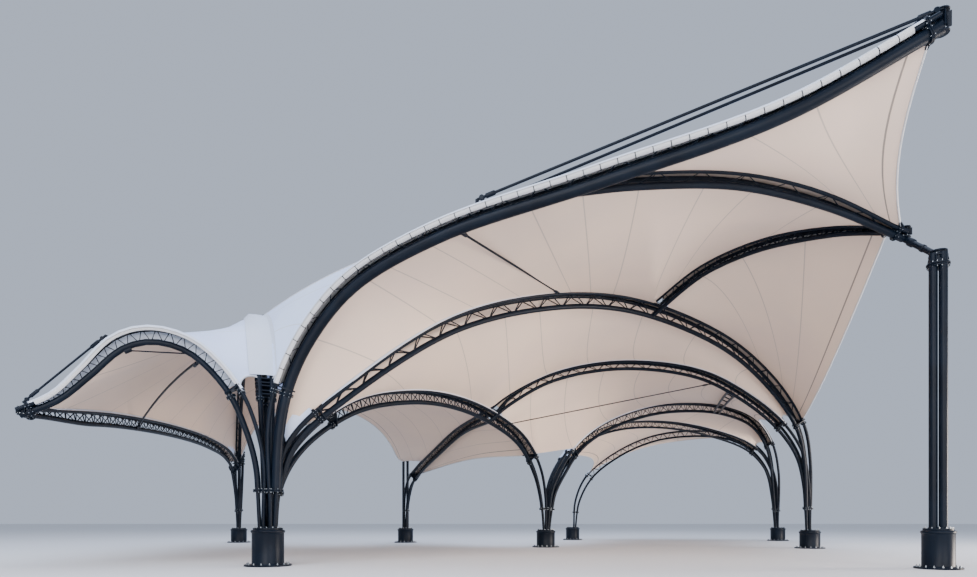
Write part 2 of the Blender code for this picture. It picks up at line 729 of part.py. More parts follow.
def matched_shares(run_a, run_b):
    """Pairs of shares along two edges that take in every point of both."""
    a = [at / run_a[-1] for at in run_a[1:-1]]
    b = [at / run_b[-1] for at in run_b[1:-1]]
    close = SHEET_STEP * 0.4 / max(run_a[-1], run_b[-1])
    anchors = [(0.0, 0.0)]
    for share_a in a:
        near = [share_b for share_b in b if abs(share_b - share_a) < close and share_b > anchors[-1][1]]
        if near:
            anchors.append((share_a, min(near, key=lambda share_b: abs(share_b - share_a))))
    anchors.append((1.0, 1.0))
    pairs = list(anchors)
    for share_a in a:
        if all(abs(share_a - pair[0]) > close / 2 for pair in pairs):
            pairs.append((share_a, between(anchors, share_a, 0, 1)))
    for share_b in b:
        share_a = between(anchors, share_b, 1, 0)
        if all(abs(share_b - pair[1]) > close / 2 for pair in pairs):
            pairs.append((share_a, share_b))
    return sorted(pairs)


def sheet_grid(runs_a, runs_b, dip, cut_first, cut_last, arches):
    """Rows of points over a sheet: straight across, dipped, and cut in at the free ends."""
    edge_a = edge_line(runs_a, arches)
    edge_b = edge_line(runs_b, arches) if runs_b else verge_line(edge_a, arches[runs_a[0][0]].left)
    run_a, run_b = lengths_of(edge_a), lengths_of(edge_b)
    mean = (run_a[-1] + run_b[-1]) / 2
    shares = matched_shares(run_a, run_b)
    grid = []
    for r in range(SHEET_ROWS + 1):
        v = r / SHEET_ROWS
        bow = 4 * v * (1 - v)
        low, high = cut_first * bow / mean, 1 - cut_last * bow / mean
        row = []
        for share_a, share_b in shares:
            a = along(edge_a, run_a, (low + (high - low) * share_a) * run_a[-1])
            b = along(edge_b, run_b, (low + (high - low) * share_b) * run_b[-1])
            inset = EDGE_INSET / max((b - a).length, 2 * EDGE_INSET)
            p = a.lerp(b, inset + v * (1 - 2 * inset))
            p.z -= dip * bow * (b - a).length
            row.append(p)
        grid.append(row)
    return grid


def slab(name, grid, thick, material):
    """A closed sheet of even thickness over a grid of points."""
    rows, columns = len(grid), len(grid[0])
    bm = bmesh.new()
    normals = [[None] * columns for _ in range(rows)]
    for r in range(rows):
        for c in range(columns):
            du = grid[r][min(c + 1, columns - 1)] - grid[r][max(c - 1, 0)]
            dv = grid[min(r + 1, rows - 1)][c] - grid[max(r - 1, 0)][c]
            normal = du.cross(dv)
            normals[r][c] = normal.normalized() if normal.length > 1e-6 else Vector((0, 0, 1))
    layers = [[[bm.verts.new(grid[r][c] + normals[r][c] * thick * s) for c in range(columns)]
               for r in range(rows)] for s in (0.5, -0.5)]
    for layer in layers:
        for r in range(rows - 1):
            for c in range(columns - 1):
                bm.faces.new((layer[r][c], layer[r][c + 1], layer[r + 1][c + 1]))
                bm.faces.new((layer[r][c], layer[r + 1][c + 1], layer[r + 1][c]))
    top, under = layers
    border = [(0, c) for c in range(columns)] + [(r, columns - 1) for r in range(1, rows)]
    border += [(rows - 1, c) for c in range(columns - 2, -1, -1)] + [(r, 0) for r in range(rows - 2, 0, -1)]
    for (r0, c0), (r1, c1) in zip(border, border[1:] + border[:1]):
        bm.faces.new((top[r0][c0], top[r1][c1], under[r1][c1]))
        bm.faces.new((top[r0][c0], under[r1][c1], under[r0][c0]))
    return new_object(name, bm, material)


def sheet(name, arches, tools, nodes, material):
    runs_a, runs_b, dip, cut_first, cut_last = SHEETS[name]
    obj = slab(name, sheet_grid(runs_a, runs_b, dip, cut_first, cut_last, arches), SHEET_THICK, material)
    reached = []
    for run in runs_a + (runs_b or []):
        if isinstance(run, Vector):
            reached.append(run)
        else:
            boolean(obj, chord_cutter(arches[run[0]], run[1], tools))
            reached += ARCHES[run[0]]["ends"]
    for node, at in nodes:
        if any(at == end for end in reached):
            boolean(obj, node)
    return obj


def main():
    for obj in list(bpy.data.objects):
        bpy.data.objects.remove(obj)
    steel = paint("steel", STEEL, 0.4)
    cloth = paint("cloth", CLOTH, 0.75)
    arches = {}
    for name in ARCHES:
        arches[name] = Arch(name)
    for arch in arches.values():
        branch_ends(arch, arches)
    tools = {}
    nodes = []
    for name, (at, radius, height, _) in TIPS.items():
        tip_node(name, at, radius, height, steel)
        nodes.append((cutter(tip_node("cut_" + name, at, radius, height, None, CUT)), at))
    nodes.append((cutter(tip_node("cut_post_head", POST_CORNER, *POST_HEAD, None, CUT)), POST_CORNER))
    head = Vector((*COLUMNS["mast"], MAST_TOP - MAST_HEAD[1] / 2))
    head_cutter = cutter(tip_node("cut_mast_head", head, *MAST_HEAD, None, CUT))
    for column in COLUMNS:
        drum(column, steel)
        if column != "mast":
            tree(column, arches, steel)
    mast(steel)
    for arch in arches.values():
        obj = truss(arch, steel)
        for end in arch.plan["ends"]:
            if isinstance(end, tuple):
                boolean(obj, chord_cutter(arches[end[0]], "low", tools))
                boolean(obj, chord_cutter(arches[end[0]], end[2], tools))
            elif isinstance(end, Vector):
                boolean(obj, next(node for node, at in nodes if at == end))
    for name in MEMBERS:
        member(name, arches, tools, nodes, steel)
    link(arches, tools, steel)
    strut = tube("mast_strut", [PEAK - Vector((0, 0, 0.2)), head + Vector((0, 0, 0.1))], STRUT_RADIUS, steel)
    boolean(strut, next(node for node, at in nodes if at == PEAK))
    boolean(strut, head_cutter)
    for name in SHEETS:
        sheet(name, arches, tools, nodes, cloth)


main()
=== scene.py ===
from bisect import bisect_right
from math import cos, pi, radians, sin, sqrt

import bmesh
import bpy
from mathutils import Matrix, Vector


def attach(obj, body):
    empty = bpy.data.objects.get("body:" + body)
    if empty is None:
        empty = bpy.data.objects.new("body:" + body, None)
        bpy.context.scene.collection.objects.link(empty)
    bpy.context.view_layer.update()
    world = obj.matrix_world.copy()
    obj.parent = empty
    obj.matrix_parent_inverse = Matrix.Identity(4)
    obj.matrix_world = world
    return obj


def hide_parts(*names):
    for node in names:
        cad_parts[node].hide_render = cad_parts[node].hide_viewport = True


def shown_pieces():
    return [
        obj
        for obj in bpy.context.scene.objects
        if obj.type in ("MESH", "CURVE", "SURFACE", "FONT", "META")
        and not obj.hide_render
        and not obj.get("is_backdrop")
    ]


# A large stretched-cloth canopy on curved steel arches. Metres, +Z up, the front column at the origin.
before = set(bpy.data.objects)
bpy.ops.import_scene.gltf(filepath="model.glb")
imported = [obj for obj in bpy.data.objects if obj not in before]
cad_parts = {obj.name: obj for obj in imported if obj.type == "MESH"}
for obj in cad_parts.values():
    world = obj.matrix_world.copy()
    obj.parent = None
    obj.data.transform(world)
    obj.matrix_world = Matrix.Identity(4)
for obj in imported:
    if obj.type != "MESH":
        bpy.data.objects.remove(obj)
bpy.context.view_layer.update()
print("frame loaded:", len(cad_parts), "solids")


def addObject(name, data, place=(0, 0, 0)):
    made = bpy.data.objects.new(name, data)
    made.location = place
    bpy.context.scene.collection.objects.link(made)
    return made


# camera: at eye height, looking level, with the lens shifted up to take in the roof
camera = {
    "place": (6.755, -19.909, 1.382),
    "lens": 23.95, "sensor": 36.0,  # mm
    "shiftUp": 0.2376,
    "farthest": 500.0,
}
cameraData = bpy.data.cameras.new("photoCamera")
cameraData.lens = camera["lens"]
cameraData.sensor_width = camera["sensor"]
cameraData.shift_y = camera["shiftUp"]
cameraData.clip_end = camera["farthest"]
photoCamera = addObject("photoCamera", cameraData, camera["place"])
photoCamera.rotation_euler = (radians(90), 0, 0)
bpy.context.scene.camera = photoCamera
print("camera placed")


# finishes

def hexColour(text):
    # sRGB hex to the linear values that the shader takes
    channels = [int(text[i:i + 2], 16) / 255 for i in (1, 3, 5)]
    return (*[c / 12.92 if c <= 0.04045 else ((c + 0.055) / 1.055) ** 2.4 for c in channels], 1.0)


def addNode(finish, kind, settings=None):
    # one node, or the finish's own shader; a setting is a property, a socket's value or hex colour,
    # or the output that feeds the socket
    nodes = finish.node_tree.nodes
    node = nodes[kind] if kind in nodes else nodes.new(kind)
    for key, value in (settings or {}).items():
        if isinstance(value, bpy.types.NodeSocket):
            finish.node_tree.links.new(value, node.inputs[key])
        elif isinstance(key, str) and key not in node.inputs:
            setattr(node, key, value)
        else:
            node.inputs[key].default_value = hexColour(value) if isinstance(value, str) else value
    return node


def newFinish(name, settings):
    finish = bpy.data.materials.new(name)
    finish.use_nodes = True
    addNode(finish, "Principled BSDF", settings)
    return finish


def patch(finish, size, low=0.35, high=0.65):
    # soft cloudy variation whose patches are about size metres across, as a 0 to 1 value
    place = addNode(finish, "ShaderNodeTexCoord").outputs["Object"]
    noise = addNode(finish, "ShaderNodeTexNoise", {"Scale": 1 / size, "Detail": 4.0, "Vector": place})
    return addNode(finish, "ShaderNodeMapRange", {
        "Value": noise.outputs["Fac"], "From Min": low, "From Max": high}).outputs["Result"]


def layTones(finish, tone, layers):
    # the base colour: one tone with others over it, each as (amount, tone)
    for amount, over in layers:
        mix = addNode(finish, "ShaderNodeMix", {"data_type": "RGBA", 0: amount, 6: tone, 7: over})
        tone = mix.outputs[2]
    addNode(finish, "Principled BSDF", {"Base Color": tone})


# PVC-coated polyester membrane, lacquered, factory-woven and high-frequency welded: flat and even,
# with thin darker lines where panels overlap and a woven belt sewn inside each free edge
membraneLook = {
    # one white cloth drawn as two copies: the top tones are painted sky light, blue-white as if lit from
    # above; the under tones are painted warm bounce light and light through the cloth, beige as if lit from
    # below; the patches over each vary at random
    "underBounceLitTone": "#e8cfba", "underBounceLitPatchTone": "#dec7b7", "topSkyLitTone": "#d8e5fd", "topSkyLitDustTone": "#c2d1f2",
    "seamUnder": "#8f857e", "seamTop": "#c3c9d2", "belt": "#6f665f",
    "cloud": 3.4,       # metres across, the soft patches of tone
    "seamHalf": 0.016,  # the weld is about 35 mm wide
    "beltAt": 0.42, "beltHalf": 0.026, "beltDepth": 0.85,
    "threadMm": 24,     # real threads are 0.6 mm apart, drawn 24 mm so that they show close up
    "bandAtOne": 0.314,  # metres between a wave texture's bands at scale 1
    "roughness": 0.62,
}


def makeMembrane(name, tone, otherTone, seamTone, seamAmount):
    look = membraneLook
    finish = newFinish(name, {"Roughness": look["roughness"], "IOR": 1.5})
    seam, edge = (addNode(finish, "ShaderNodeAttribute", {"attribute_name": kind}).outputs["Fac"]
                  for kind in ("seam", "edge"))
    line = addNode(finish, "ShaderNodeMapRange", {
        "Value": seam, "From Min": look["seamHalf"], "From Max": look["seamHalf"] * 1.5,
        "To Min": seamAmount, "To Max": 0.0})
    belt = addNode(finish, "ShaderNodeMath", {
        "operation": "COMPARE", 0: edge, 1: look["beltAt"], 2: look["beltHalf"]})
    beltAmount = addNode(finish, "ShaderNodeMath", {
        "operation": "MULTIPLY", 0: belt.outputs[0], 1: look["beltDepth"]})
    layTones(finish, tone, [(patch(finish, look["cloud"], 0.3, 0.7), otherTone),
                            (line.outputs["Result"], seamTone), (beltAmount.outputs[0], look["belt"])])
    place = addNode(finish, "ShaderNodeTexCoord").outputs["Object"]
    scale = look["bandAtOne"] / (look["threadMm"] / 1000)
    warp, weft = (addNode(finish, "ShaderNodeTexWave", {
        "bands_direction": way, "Scale": scale, "Vector": place}).outputs["Fac"] for way in ("X", "Y"))
    weave = addNode(finish, "ShaderNodeMath", {"operation": "ADD", 0: warp, 1: weft})
    bump = addNode(finish, "ShaderNodeBump", {
        "Strength": 0.05, "Distance": 0.002, "Height": weave.outputs[0]})
    addNode(finish, "Principled BSDF", {"Normal": bump.outputs["Normal"]})
    return finish


# the underside copy, its tone painted warm bounce light and light through the cloth
membraneUnderBounceLit = makeMembrane("membraneUndersideBounceLit", membraneLook["underBounceLitTone"], membraneLook["underBounceLitPatchTone"],
                             membraneLook["seamUnder"], 0.55)
# the top copy, its tone painted blue sky light
membraneTopSkyLit = makeMembrane("membraneTopSkyLit", membraneLook["topSkyLitTone"], membraneLook["topSkyLitDustTone"],
                           membraneLook["seamTop"], 0.7)
# a brighter, whiter copy of the same cloth: painted light, as if lit through and from above; on the sleeves,
# the cuffs, the flaps and two rails' strip linings
stripClothBrightLit = makeMembrane("stripClothBrightLit", "#eceef2", "#dcdfe5", "#a9a8a6", 0.5)

# structural steel tube under two-pack polyurethane paint, sprayed: dark blue-grey with a low satin sheen, a
# faint orange peel, and a paler blue-grey in patches on the sides that face up
paintLook = {
    "tone": "#040c18", "otherTone": "#0a1522", "paleUpTone": "#14202d",
    "cloud": 0.9, "paleUpCloud": 0.25,  # metres across
    "roughness": 0.42, "specular": 0.18,
    "peelMm": 30,  # real orange peel is 3 mm, drawn coarser so that it shows
}
steelPaint = newFinish("steelPaint", {
    "Roughness": paintLook["roughness"], "IOR": 1.45, "Specular IOR Level": paintLook["specular"]})
steelNormal = addNode(steelPaint, "ShaderNodeNewGeometry").outputs["Normal"]
steelFacing = addNode(steelPaint, "ShaderNodeSeparateXYZ", {0: steelNormal}).outputs["Z"]
# paler on the sides that face up, in patches
facingUp = addNode(steelPaint, "ShaderNodeMapRange", {
    "Value": steelFacing, "From Min": 0.55, "From Max": 1.0, "To Max": 0.5}).outputs["Result"]
paleUpAmount = addNode(steelPaint, "ShaderNodeMath", {
    "operation": "MULTIPLY", 0: facingUp, 1: patch(steelPaint, paintLook["paleUpCloud"])})
layTones(steelPaint, paintLook["tone"], [(patch(steelPaint, paintLook["cloud"]), paintLook["otherTone"]),
                                         (paleUpAmount.outputs[0], paintLook["paleUpTone"])])
peelPlace = addNode(steelPaint, "ShaderNodeTexCoord").outputs["Object"]
peel = addNode(steelPaint, "ShaderNodeTexNoise", {
    "Scale": 1000 / paintLook["peelMm"], "Detail": 2.0, "Vector": peelPlace})
steelBump = addNode(steelPaint, "ShaderNodeBump", {
    "Strength": 0.04, "Distance": 0.003, "Height": peel.outputs["Fac"]})
addNode(steelPaint, "Principled BSDF", {"Normal": steelBump.outputs["Normal"]})

# hot-dip galvanised bolts, left bare: dull grey zinc, brighter in small patches
boltZinc = newFinish("boltZinc", {"Metallic": 1.0, "Roughness": 0.46})
layTones(boltZinc, "#7f868d", [(patch(boltZinc, 0.03), "#a0a6ab")])

# woven polyester lashing: near-black, matt
lashing = newFinish("lashing", {"Roughness": 0.8})
layTones(lashing, "#25272b", [(patch(lashing, 0.05), "#3b3e43")])
steel = [steelPaint, boltZinc]
print("finishes made")


# lines and shapes

upward = Vector((0, 0, 1))
chords = ("left", "right", "low")


def smoothStep(t):
    t = min(max(t, 0.0), 1.0)
    return t * t * (3 - 2 * t)


def curveThrough(points, perSpan=24):
    # a smooth curve through (distance, height) points
    guide = [Vector(p) for p in points]
    guide = [guide[0] * 2 - guide[1]] + guide + [guide[-1] * 2 - guide[-2]]
    out = []
    for a, b, c, d in zip(guide, guide[1:], guide[2:], guide[3:]):
        ta, tb, tc = ((q - p).length ** 0.5 for p, q in ((a, b), (b, c), (c, d)))
        slopeB = (c - b) / tb - (c - a) / (ta + tb) + (b - a) / ta
        slopeC = (d - c) / tc - (d - b) / (tb + tc) + (c - b) / tb
        for i in range(perSpan):
            t = i / perSpan
            out.append((2 * t**3 - 3 * t**2 + 1) * b + (t**3 - 2 * t**2 + t) * slopeB * tb
                       + (3 * t**2 - 2 * t**3) * c + (t**3 - t**2) * slopeC * tb)
    out.append(guide[-2])
    return out


def lengthsOf(points):
    total = [0.0]
    for a, b in zip(points, points[1:]):
        total.append(total[-1] + (b - a).length)
    return total


def along(points, lengths, at):
    at = min(max(at, 0.0), lengths[-1])
    i = min(bisect_right(lengths, at) - 1, len(points) - 2)
    return points[i].lerp(points[i + 1], (at - lengths[i]) / max(lengths[i + 1] - lengths[i], 1e-9))


def stations(begin, stop, step):
    count = int((stop - begin) / step)
    return [begin + (stop - begin) * i / count for i in range(count + 1)]


def bowedLine(a, b, rise, count):
    shares = [i / count for i in range(count + 1)]
    return [a.lerp(b, t) + upward * rise * 4 * t * (1 - t) for t in shares]


def squareTo(axis):
    # two directions at right angles to an axis
    side = axis.cross(Vector((0, 1, 0)) if abs(axis.y) < 0.9 else Vector((1, 0, 0))).normalized()
    return side, axis.cross(side)


def level(angle):
    return Vector((cos(angle), sin(angle), 0))


def steadyFrames(points):
    # side and up at each point of a line, carried along without a twist
    side = (points[1] - points[0]).normalized().cross(upward)
    side = side.normalized() if side.length > 0.05 else Vector((1, 0, 0))
    frames = []
    for i in range(len(points)):
        before = (points[i] - points[max(i - 1, 0)]).normalized()
        after = (points[min(i + 1, len(points) - 1)] - points[i]).normalized()
        heading = (before + after).normalized()
        side = (side - heading * side.dot(heading)).normalized()
        frames.append((side, side.cross(heading)))
    return frames


# the joints in the chords: two bolted rings, wider than the tube by these
flangeLook = {"apart": 0.021, "wide": 0.055, "thick": 0.036, "boltsOut": 0.032, "bolt": (0.014, 0.026)}


class Piece:
    # gathers the corners and faces of one shown piece, with each face's finish
    def __init__(self):
        self.points = []
        self.faces = []
        self.finishes = []
        self.values = {"seam": {}, "edge": {}}

    def addFace(self, corners, finish):
        self.faces.append(tuple(corners))
        self.finishes.append(finish)

    def rings(self, circles, sides, finish):
        # a closed shape through circles of (centre, side, up, radius)
        made = []
        for centre, side, up, radius in circles:
            made.append(range(len(self.points), len(self.points) + sides))
            for i in range(sides):
                angle = 2 * pi * (i + 0.5) / sides
                self.points.append(centre + (side * cos(angle) + up * sin(angle)) * radius)
        for a, b in zip(made, made[1:]):
            for i in range(sides):
                j = (i + 1) % sides
                self.addFace((a[i], a[j], b[j], b[i]), finish)
        self.addFace(made[0][::-1], finish)
        self.addFace(made[-1], finish)

    def tube(self, line, radius, sides=12):
        self.rings([(p, side, up, radius) for p, (side, up) in zip(line, steadyFrames(line))], sides, 0)

    def turned(self, base, axis, profile, sides=24, finish=0):
        # a turned shape from (radius, height) pairs up the axis from base
        axis = axis.normalized()
        side, up = squareTo(axis)
        self.rings([(base + axis * h, side, up, r) for r, h in profile], sides, finish)

    def socket(self, base, axis, radius, outer, heights, sides=24):
        # a wider length on a tube, sloped at both ends: where it widens, is wide, ends and is gone
        self.turned(base, axis, list(zip((radius, outer, outer, radius), heights)), sides)

    def disc(self, centre, axis, radius, thick, sides=20):
        # a round plate with a small chamfer on both rims
        c = min(thick * 0.2, 0.006)
        self.turned(centre - axis.normalized() * thick / 2, axis,
                    [(radius - c, 0), (radius, c), (radius, thick - c), (radius - c, thick)], sides)

    def bolts(self, centre, axis, reach, count, size, proud):
        # hexagon nuts round a circle, with the bolts' ends
        axis = axis.normalized()
        side, up = squareTo(axis)
        nut, end = proud * 0.6, size * 0.5
        for i in range(count):
            angle = 2 * pi * i / count
            spot = centre + (side * cos(angle) + up * sin(angle)) * reach
            self.turned(spot, axis, [(size, 0), (size, nut), (end, nut), (end, proud)], 6, 1)

    def boltedDisc(self, centre, axis, radius, thick, sides, bolting):
        # bolting is the bolts' ring radius, count, size and how far they stand proud
        self.disc(centre, axis, radius, thick, sides)
        self.bolts(centre + axis.normalized() * thick / 2, axis, *bolting)

    def plate(self, outline, thick):
        # a flat plate: its outline pushed out both ways
        normal = (outline[1] - outline[0]).cross(outline[2] - outline[1]).normalized() * thick / 2
        start, n = len(self.points), len(outline)
        self.points += [p + normal for p in outline] + [p - normal for p in outline]
        self.addFace(range(start, start + n), 0)
        self.addFace(range(start + 2 * n - 1, start + n - 1, -1), 0)
        for i in range(n):
            j = (i + 1) % n
            self.addFace((start + i, start + j, start + n + j, start + n + i), 0)

    def flange(self, centre, axis, radius, count=8):
        # two bolted rings face to face on a tube
        axis = axis.normalized()
        for s in (-1, 1):
            self.boltedDisc(centre + axis * s * flangeLook["apart"], axis * s, radius + flangeLook["wide"],
                            flangeLook["thick"], 20,
                            (radius + flangeLook["boltsOut"], count, *flangeLook["bolt"]))

    def skin(self, grid, finish):
        # one face of cloth through rows of points
        start, size = len(self.points), len(grid[0])
        self.points += [p for row in grid for p in row]
        for c in range(len(grid) - 1):
            for a in range(start + c * size, start + (c + 1) * size - 1):
                self.addFace((a, a + size, a + size + 1, a + 1), finish)
        return start

    def cloth(self, grid, pushes):
        # a sheet with two faces, every point pushed out both ways; says where each face's points start
        top, under = (
            self.skin([[p + push * s for p, push in zip(*pair)] for pair in zip(grid, pushes)], finish)
            for s, finish in ((1, 1), (-1, 0)))
        count, size = len(grid), len(grid[0])
        border = [c * size for c in range(count)] + [(count - 1) * size + r for r in range(1, size)]
        border += [c * size + size - 1 for c in range(count - 2, -1, -1)] + list(range(size - 2, 0, -1))
        for a, b in zip(border, border[1:] + border[:1]):
            self.addFace((top + a, top + b, under + b, under + a), 0)
        return top, under

    def finished(self, name, finishes, slot, *nodes):
        mesh = bpy.data.meshes.new(name)
        mesh.from_pydata([tuple(p) for p in self.points], [], self.faces)
        mesh.polygons.foreach_set("material_index", self.finishes)
        for finish in finishes:
            mesh.materials.append(finish)
        work = bmesh.new()
        work.from_mesh(mesh)
        bmesh.ops.recalc_face_normals(work, faces=work.faces)
        work.to_mesh(mesh)
        work.free()
        for key, values in self.values.items():
            if values:
                layer = mesh.attributes.new(key, "FLOAT", "POINT")
                for i, value in values.items():
                    layer.data[i].value = value
        mesh.shade_smooth()
        mesh.set_sharp_from_angle(angle=radians(38))
        piece = addObject(name, mesh)
        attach(piece, "root")
        if nodes:
            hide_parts(*nodes)
        return piece

    def steelPart(self, name):
        self.finished(name + "_steel", steel, "steel", name)


# where the columns stand, and the three points where arches meet in the air
columns = {
    "front": (0.0, 0.0), "wing": (-9.05, 21.25), "rear": (1.5, 21.25), "middle": (9.75, 14.1),
    "far": (12.8, 26.8), "corner": (26.7, 24.9), "side": (22.8, 12.55), "mast": (19.7, -1.2),
}
wingTip = Vector((-6.15, -1.9, 4.42))
frontTip = Vector((17.2, -4.92, 12.88))
peak = Vector((19.5, 0.0, 10.2))
# what all arches have alike; near its ends an arch narrows to a share of its width
arch = {
    "width": 0.42, "rootShare": 0.42, "bay": 2.6, "branchWidth": 0.34,
    "tipShares": ((wingTip, 0.45), (frontTip, 0.75), (peak, 0.62)),
    "sides": 14, "flangeIn": 0.04, "braceIn": 0.12,
}
# each arch: where it starts and ends, the line its guide follows, the guide as (distance, height), the
# legs' lengths in the column trees, (depth, upper and lower chord radius) as the size, how far from its
# ends it narrows, the zigzag's step and rod, and how far the middle leans to the left
arches = {
    "front_rail": {
        "ends": ("front", frontTip), "line": "low", "legs": (4.1, 0.0), "size": (0.30, 0.07, 0.16),
        "taper": (4, 9), "pitch": 1.1, "brace": 0.016,
        "guide": [(0.30, 1.1), (0.31, 2.7), (0.42, 4.2), (0.75, 5.5), (1.5, 6.85), (2.9, 8.25),
                  (5.6, 9.4), (10.1, 10.3), (14.6, 11.3), (17.9, 12.75)],
    },
    "wing_rail": {
        "ends": ("front", wingTip), "line": "low", "legs": (4.1, 0.0), "size": (0.34, 0.06, 0.09),
        "pitch": 0.32, "brace": 0.012,
        "guide": [(0.30, 1.1), (0.33, 2.9), (0.66, 4.2), (1.2, 5.35), (2.2, 6.35), (3.15, 6.6),
                  (3.95, 6.35), (4.8, 5.5), (5.6, 4.75), (6.5, 4.3)],
    },
    "wing_back": {
        "ends": (wingTip, "wing"), "legs": (0.0, 3.9), "size": (0.40, 0.07, 0.08),
        "pitch": 0.6, "brace": 0.018,
        "guide": [(0.05, 4.5), (5.4, 5.2), (12.0, 5.65), (17.0, 5.7), (20.5, 5.4), (22.2, 4.7),
                  (23.05, 3.2), (23.2, 0.85)],
    },
    "ridge": {
        "ends": ("front", "wing"), "legs": (4.1, 4.1), "size": (0.46, 0.08, 0.1),
        "taper": (6, 4), "pitch": 0.9, "brace": 0.02,
        "guide": [(0.15, 1.1), (0.46, 4.2), (0.9, 5.8), (2.3, 7.7), (5.5, 9.2), (11.5, 10.2),
                  (17.6, 9.2), (20.8, 7.7), (22.4, 5.8), (22.93, 4.2), (22.95, 0.85)],
    },
    "main": {
        "ends": ("front", "side"), "legs": (4.0, 5.4), "size": (0.46, 0.08, 0.1),
        "taper": (12, 9), "pitch": 1.18, "brace": 0.0225,
        "guide": [(0.1, 1.1), (0.15, 2.4), (0.66, 3.9), (2.3, 5.6), (6.2, 8.5), (10.4, 10.0),
                  (14.2, 10.5), (18.4, 10.05), (21.2, 9.2), (23.9, 7.6), (25.4, 6.0), (25.88, 4.3),
                  (25.93, 0.85)],
    },
    "cross": {
        "ends": ("front", "middle"), "legs": (4.6, 4.0), "size": (0.42, 0.07, 0.09),
        "taper": (6, 4), "pitch": 0.47, "brace": 0.018,
        "guide": [(0.1, 1.1), (0.3, 2.6), (1.2, 4.0), (3.3, 5.5), (6.2, 6.35), (9.0, 6.6),
                  (12.0, 6.3), (14.8, 5.4), (16.3, 4.0), (16.9, 2.5), (17.04, 0.85)],
    },
    "rear_half": {
        "ends": ("rear", ("cross", 12.0, "left")), "legs": (4.0, 0.0),
        "size": (0.29, 0.07, 0.075), "pitch": 0.5, "brace": 0.016,
        "guide": [(0.1, 0.85), (0.15, 2.4), (0.9, 3.7), (3.0, 4.55), (6.1, 5.35), (9.0, 6.0),
                  (12.3, 6.35)],
    },
    "inner": {
        "ends": (("cross", 12.0, "right"), "side"), "legs": (0.0, 5.6),
        "size": (0.32, 0.07, 0.08), "taper": (4, 6), "skew": -0.13, "pitch": 0.8, "brace": 0.018,
        "guide": [(0.25, 6.5), (0.9, 7.1), (2.9, 8.2), (6.3, 8.9), (10.3, 8.6), (12.8, 7.5),
                  (14.7, 6.1), (15.7, 4.7), (16.05, 3.2), (16.1, 0.85)],
    },
    "diagonal": {
        "ends": ("middle", "corner"), "legs": (4.6, 5.8), "size": (0.46, 0.08, 0.09),
        "pitch": 0.8, "brace": 0.02,
        "guide": [(0.1, 0.85), (0.3, 2.9), (0.95, 4.2), (2.0, 5.5), (3.8, 6.7), (6.9, 7.85),
                  (10.3, 8.5), (14.5, 8.65), (17.6, 8.0), (19.2, 6.6), (19.85, 4.8), (20.0, 0.85)],
    },
    "bowed": {
        "ends": ("middle", "corner"), "legs": (4.6, 5.8), "lean": 3.0,
        "size": (0.40, 0.07, 0.07), "pitch": 0.6, "brace": 0.016,
        "guide": [(0.1, 0.85), (0.3, 2.9), (1.2, 4.2), (3.8, 6.1), (7.6, 7.4), (12.0, 7.9),
                  (15.5, 7.5), (18.2, 6.5), (19.5, 5.0), (19.9, 3.4), (20.0, 0.85)],
    },
    "far_arch": {
        "ends": ("far", "corner"), "legs": (3.9, 6.4), "size": (0.40, 0.07, 0.07),
        "pitch": 0.6, "brace": 0.016,
        "guide": [(0.1, 0.85), (0.2, 2.8), (1.0, 4.6), (3.1, 6.3), (5.7, 7.4), (8.8, 7.7),
                  (11.1, 7.35), (12.8, 6.3), (13.7, 4.7), (13.93, 3.0), (13.93, 0.85)],
    },
    "brow": {
        "ends": (("front_rail", 9.0, "left"), peak), "line": "low", "size": (0.28, 0.07, 0.1),
        "pitch": 1.4, "brace": 0.014,
        "guide": [(0.0, 10.1), (2.3, 10.6), (5.5, 10.95), (8.5, 10.65), (11.05, 10.0)],
    },
    "rib": {
        "ends": (("main", 15.6, "right"), peak), "size": (0.28, 0.07, 0.08),
        "pitch": 0.5, "brace": 0.018,
        "guide": [(0.2, 10.5), (2.4, 11.3), (4.9, 11.5), (7.4, 11.1), (9.3, 10.45)],
    },
}
# what an arch above leaves out
usualArch = {"line": "up", "legs": (0.0, 0.0), "taper": (4, 4), "lean": 0.0, "skew": 0.0}
arches = {name: {**usualArch, **plan} for name, plan in arches.items()}


def planPoint(end):
    if isinstance(end, str):
        return Vector((*columns[end], 0.0))
    if isinstance(end, tuple):
        start, finish = (planPoint(e) for e in arches[end[0]]["ends"])
        return start + (finish - start).normalized() * end[1]
    return Vector((end.x, end.y, 0.0))


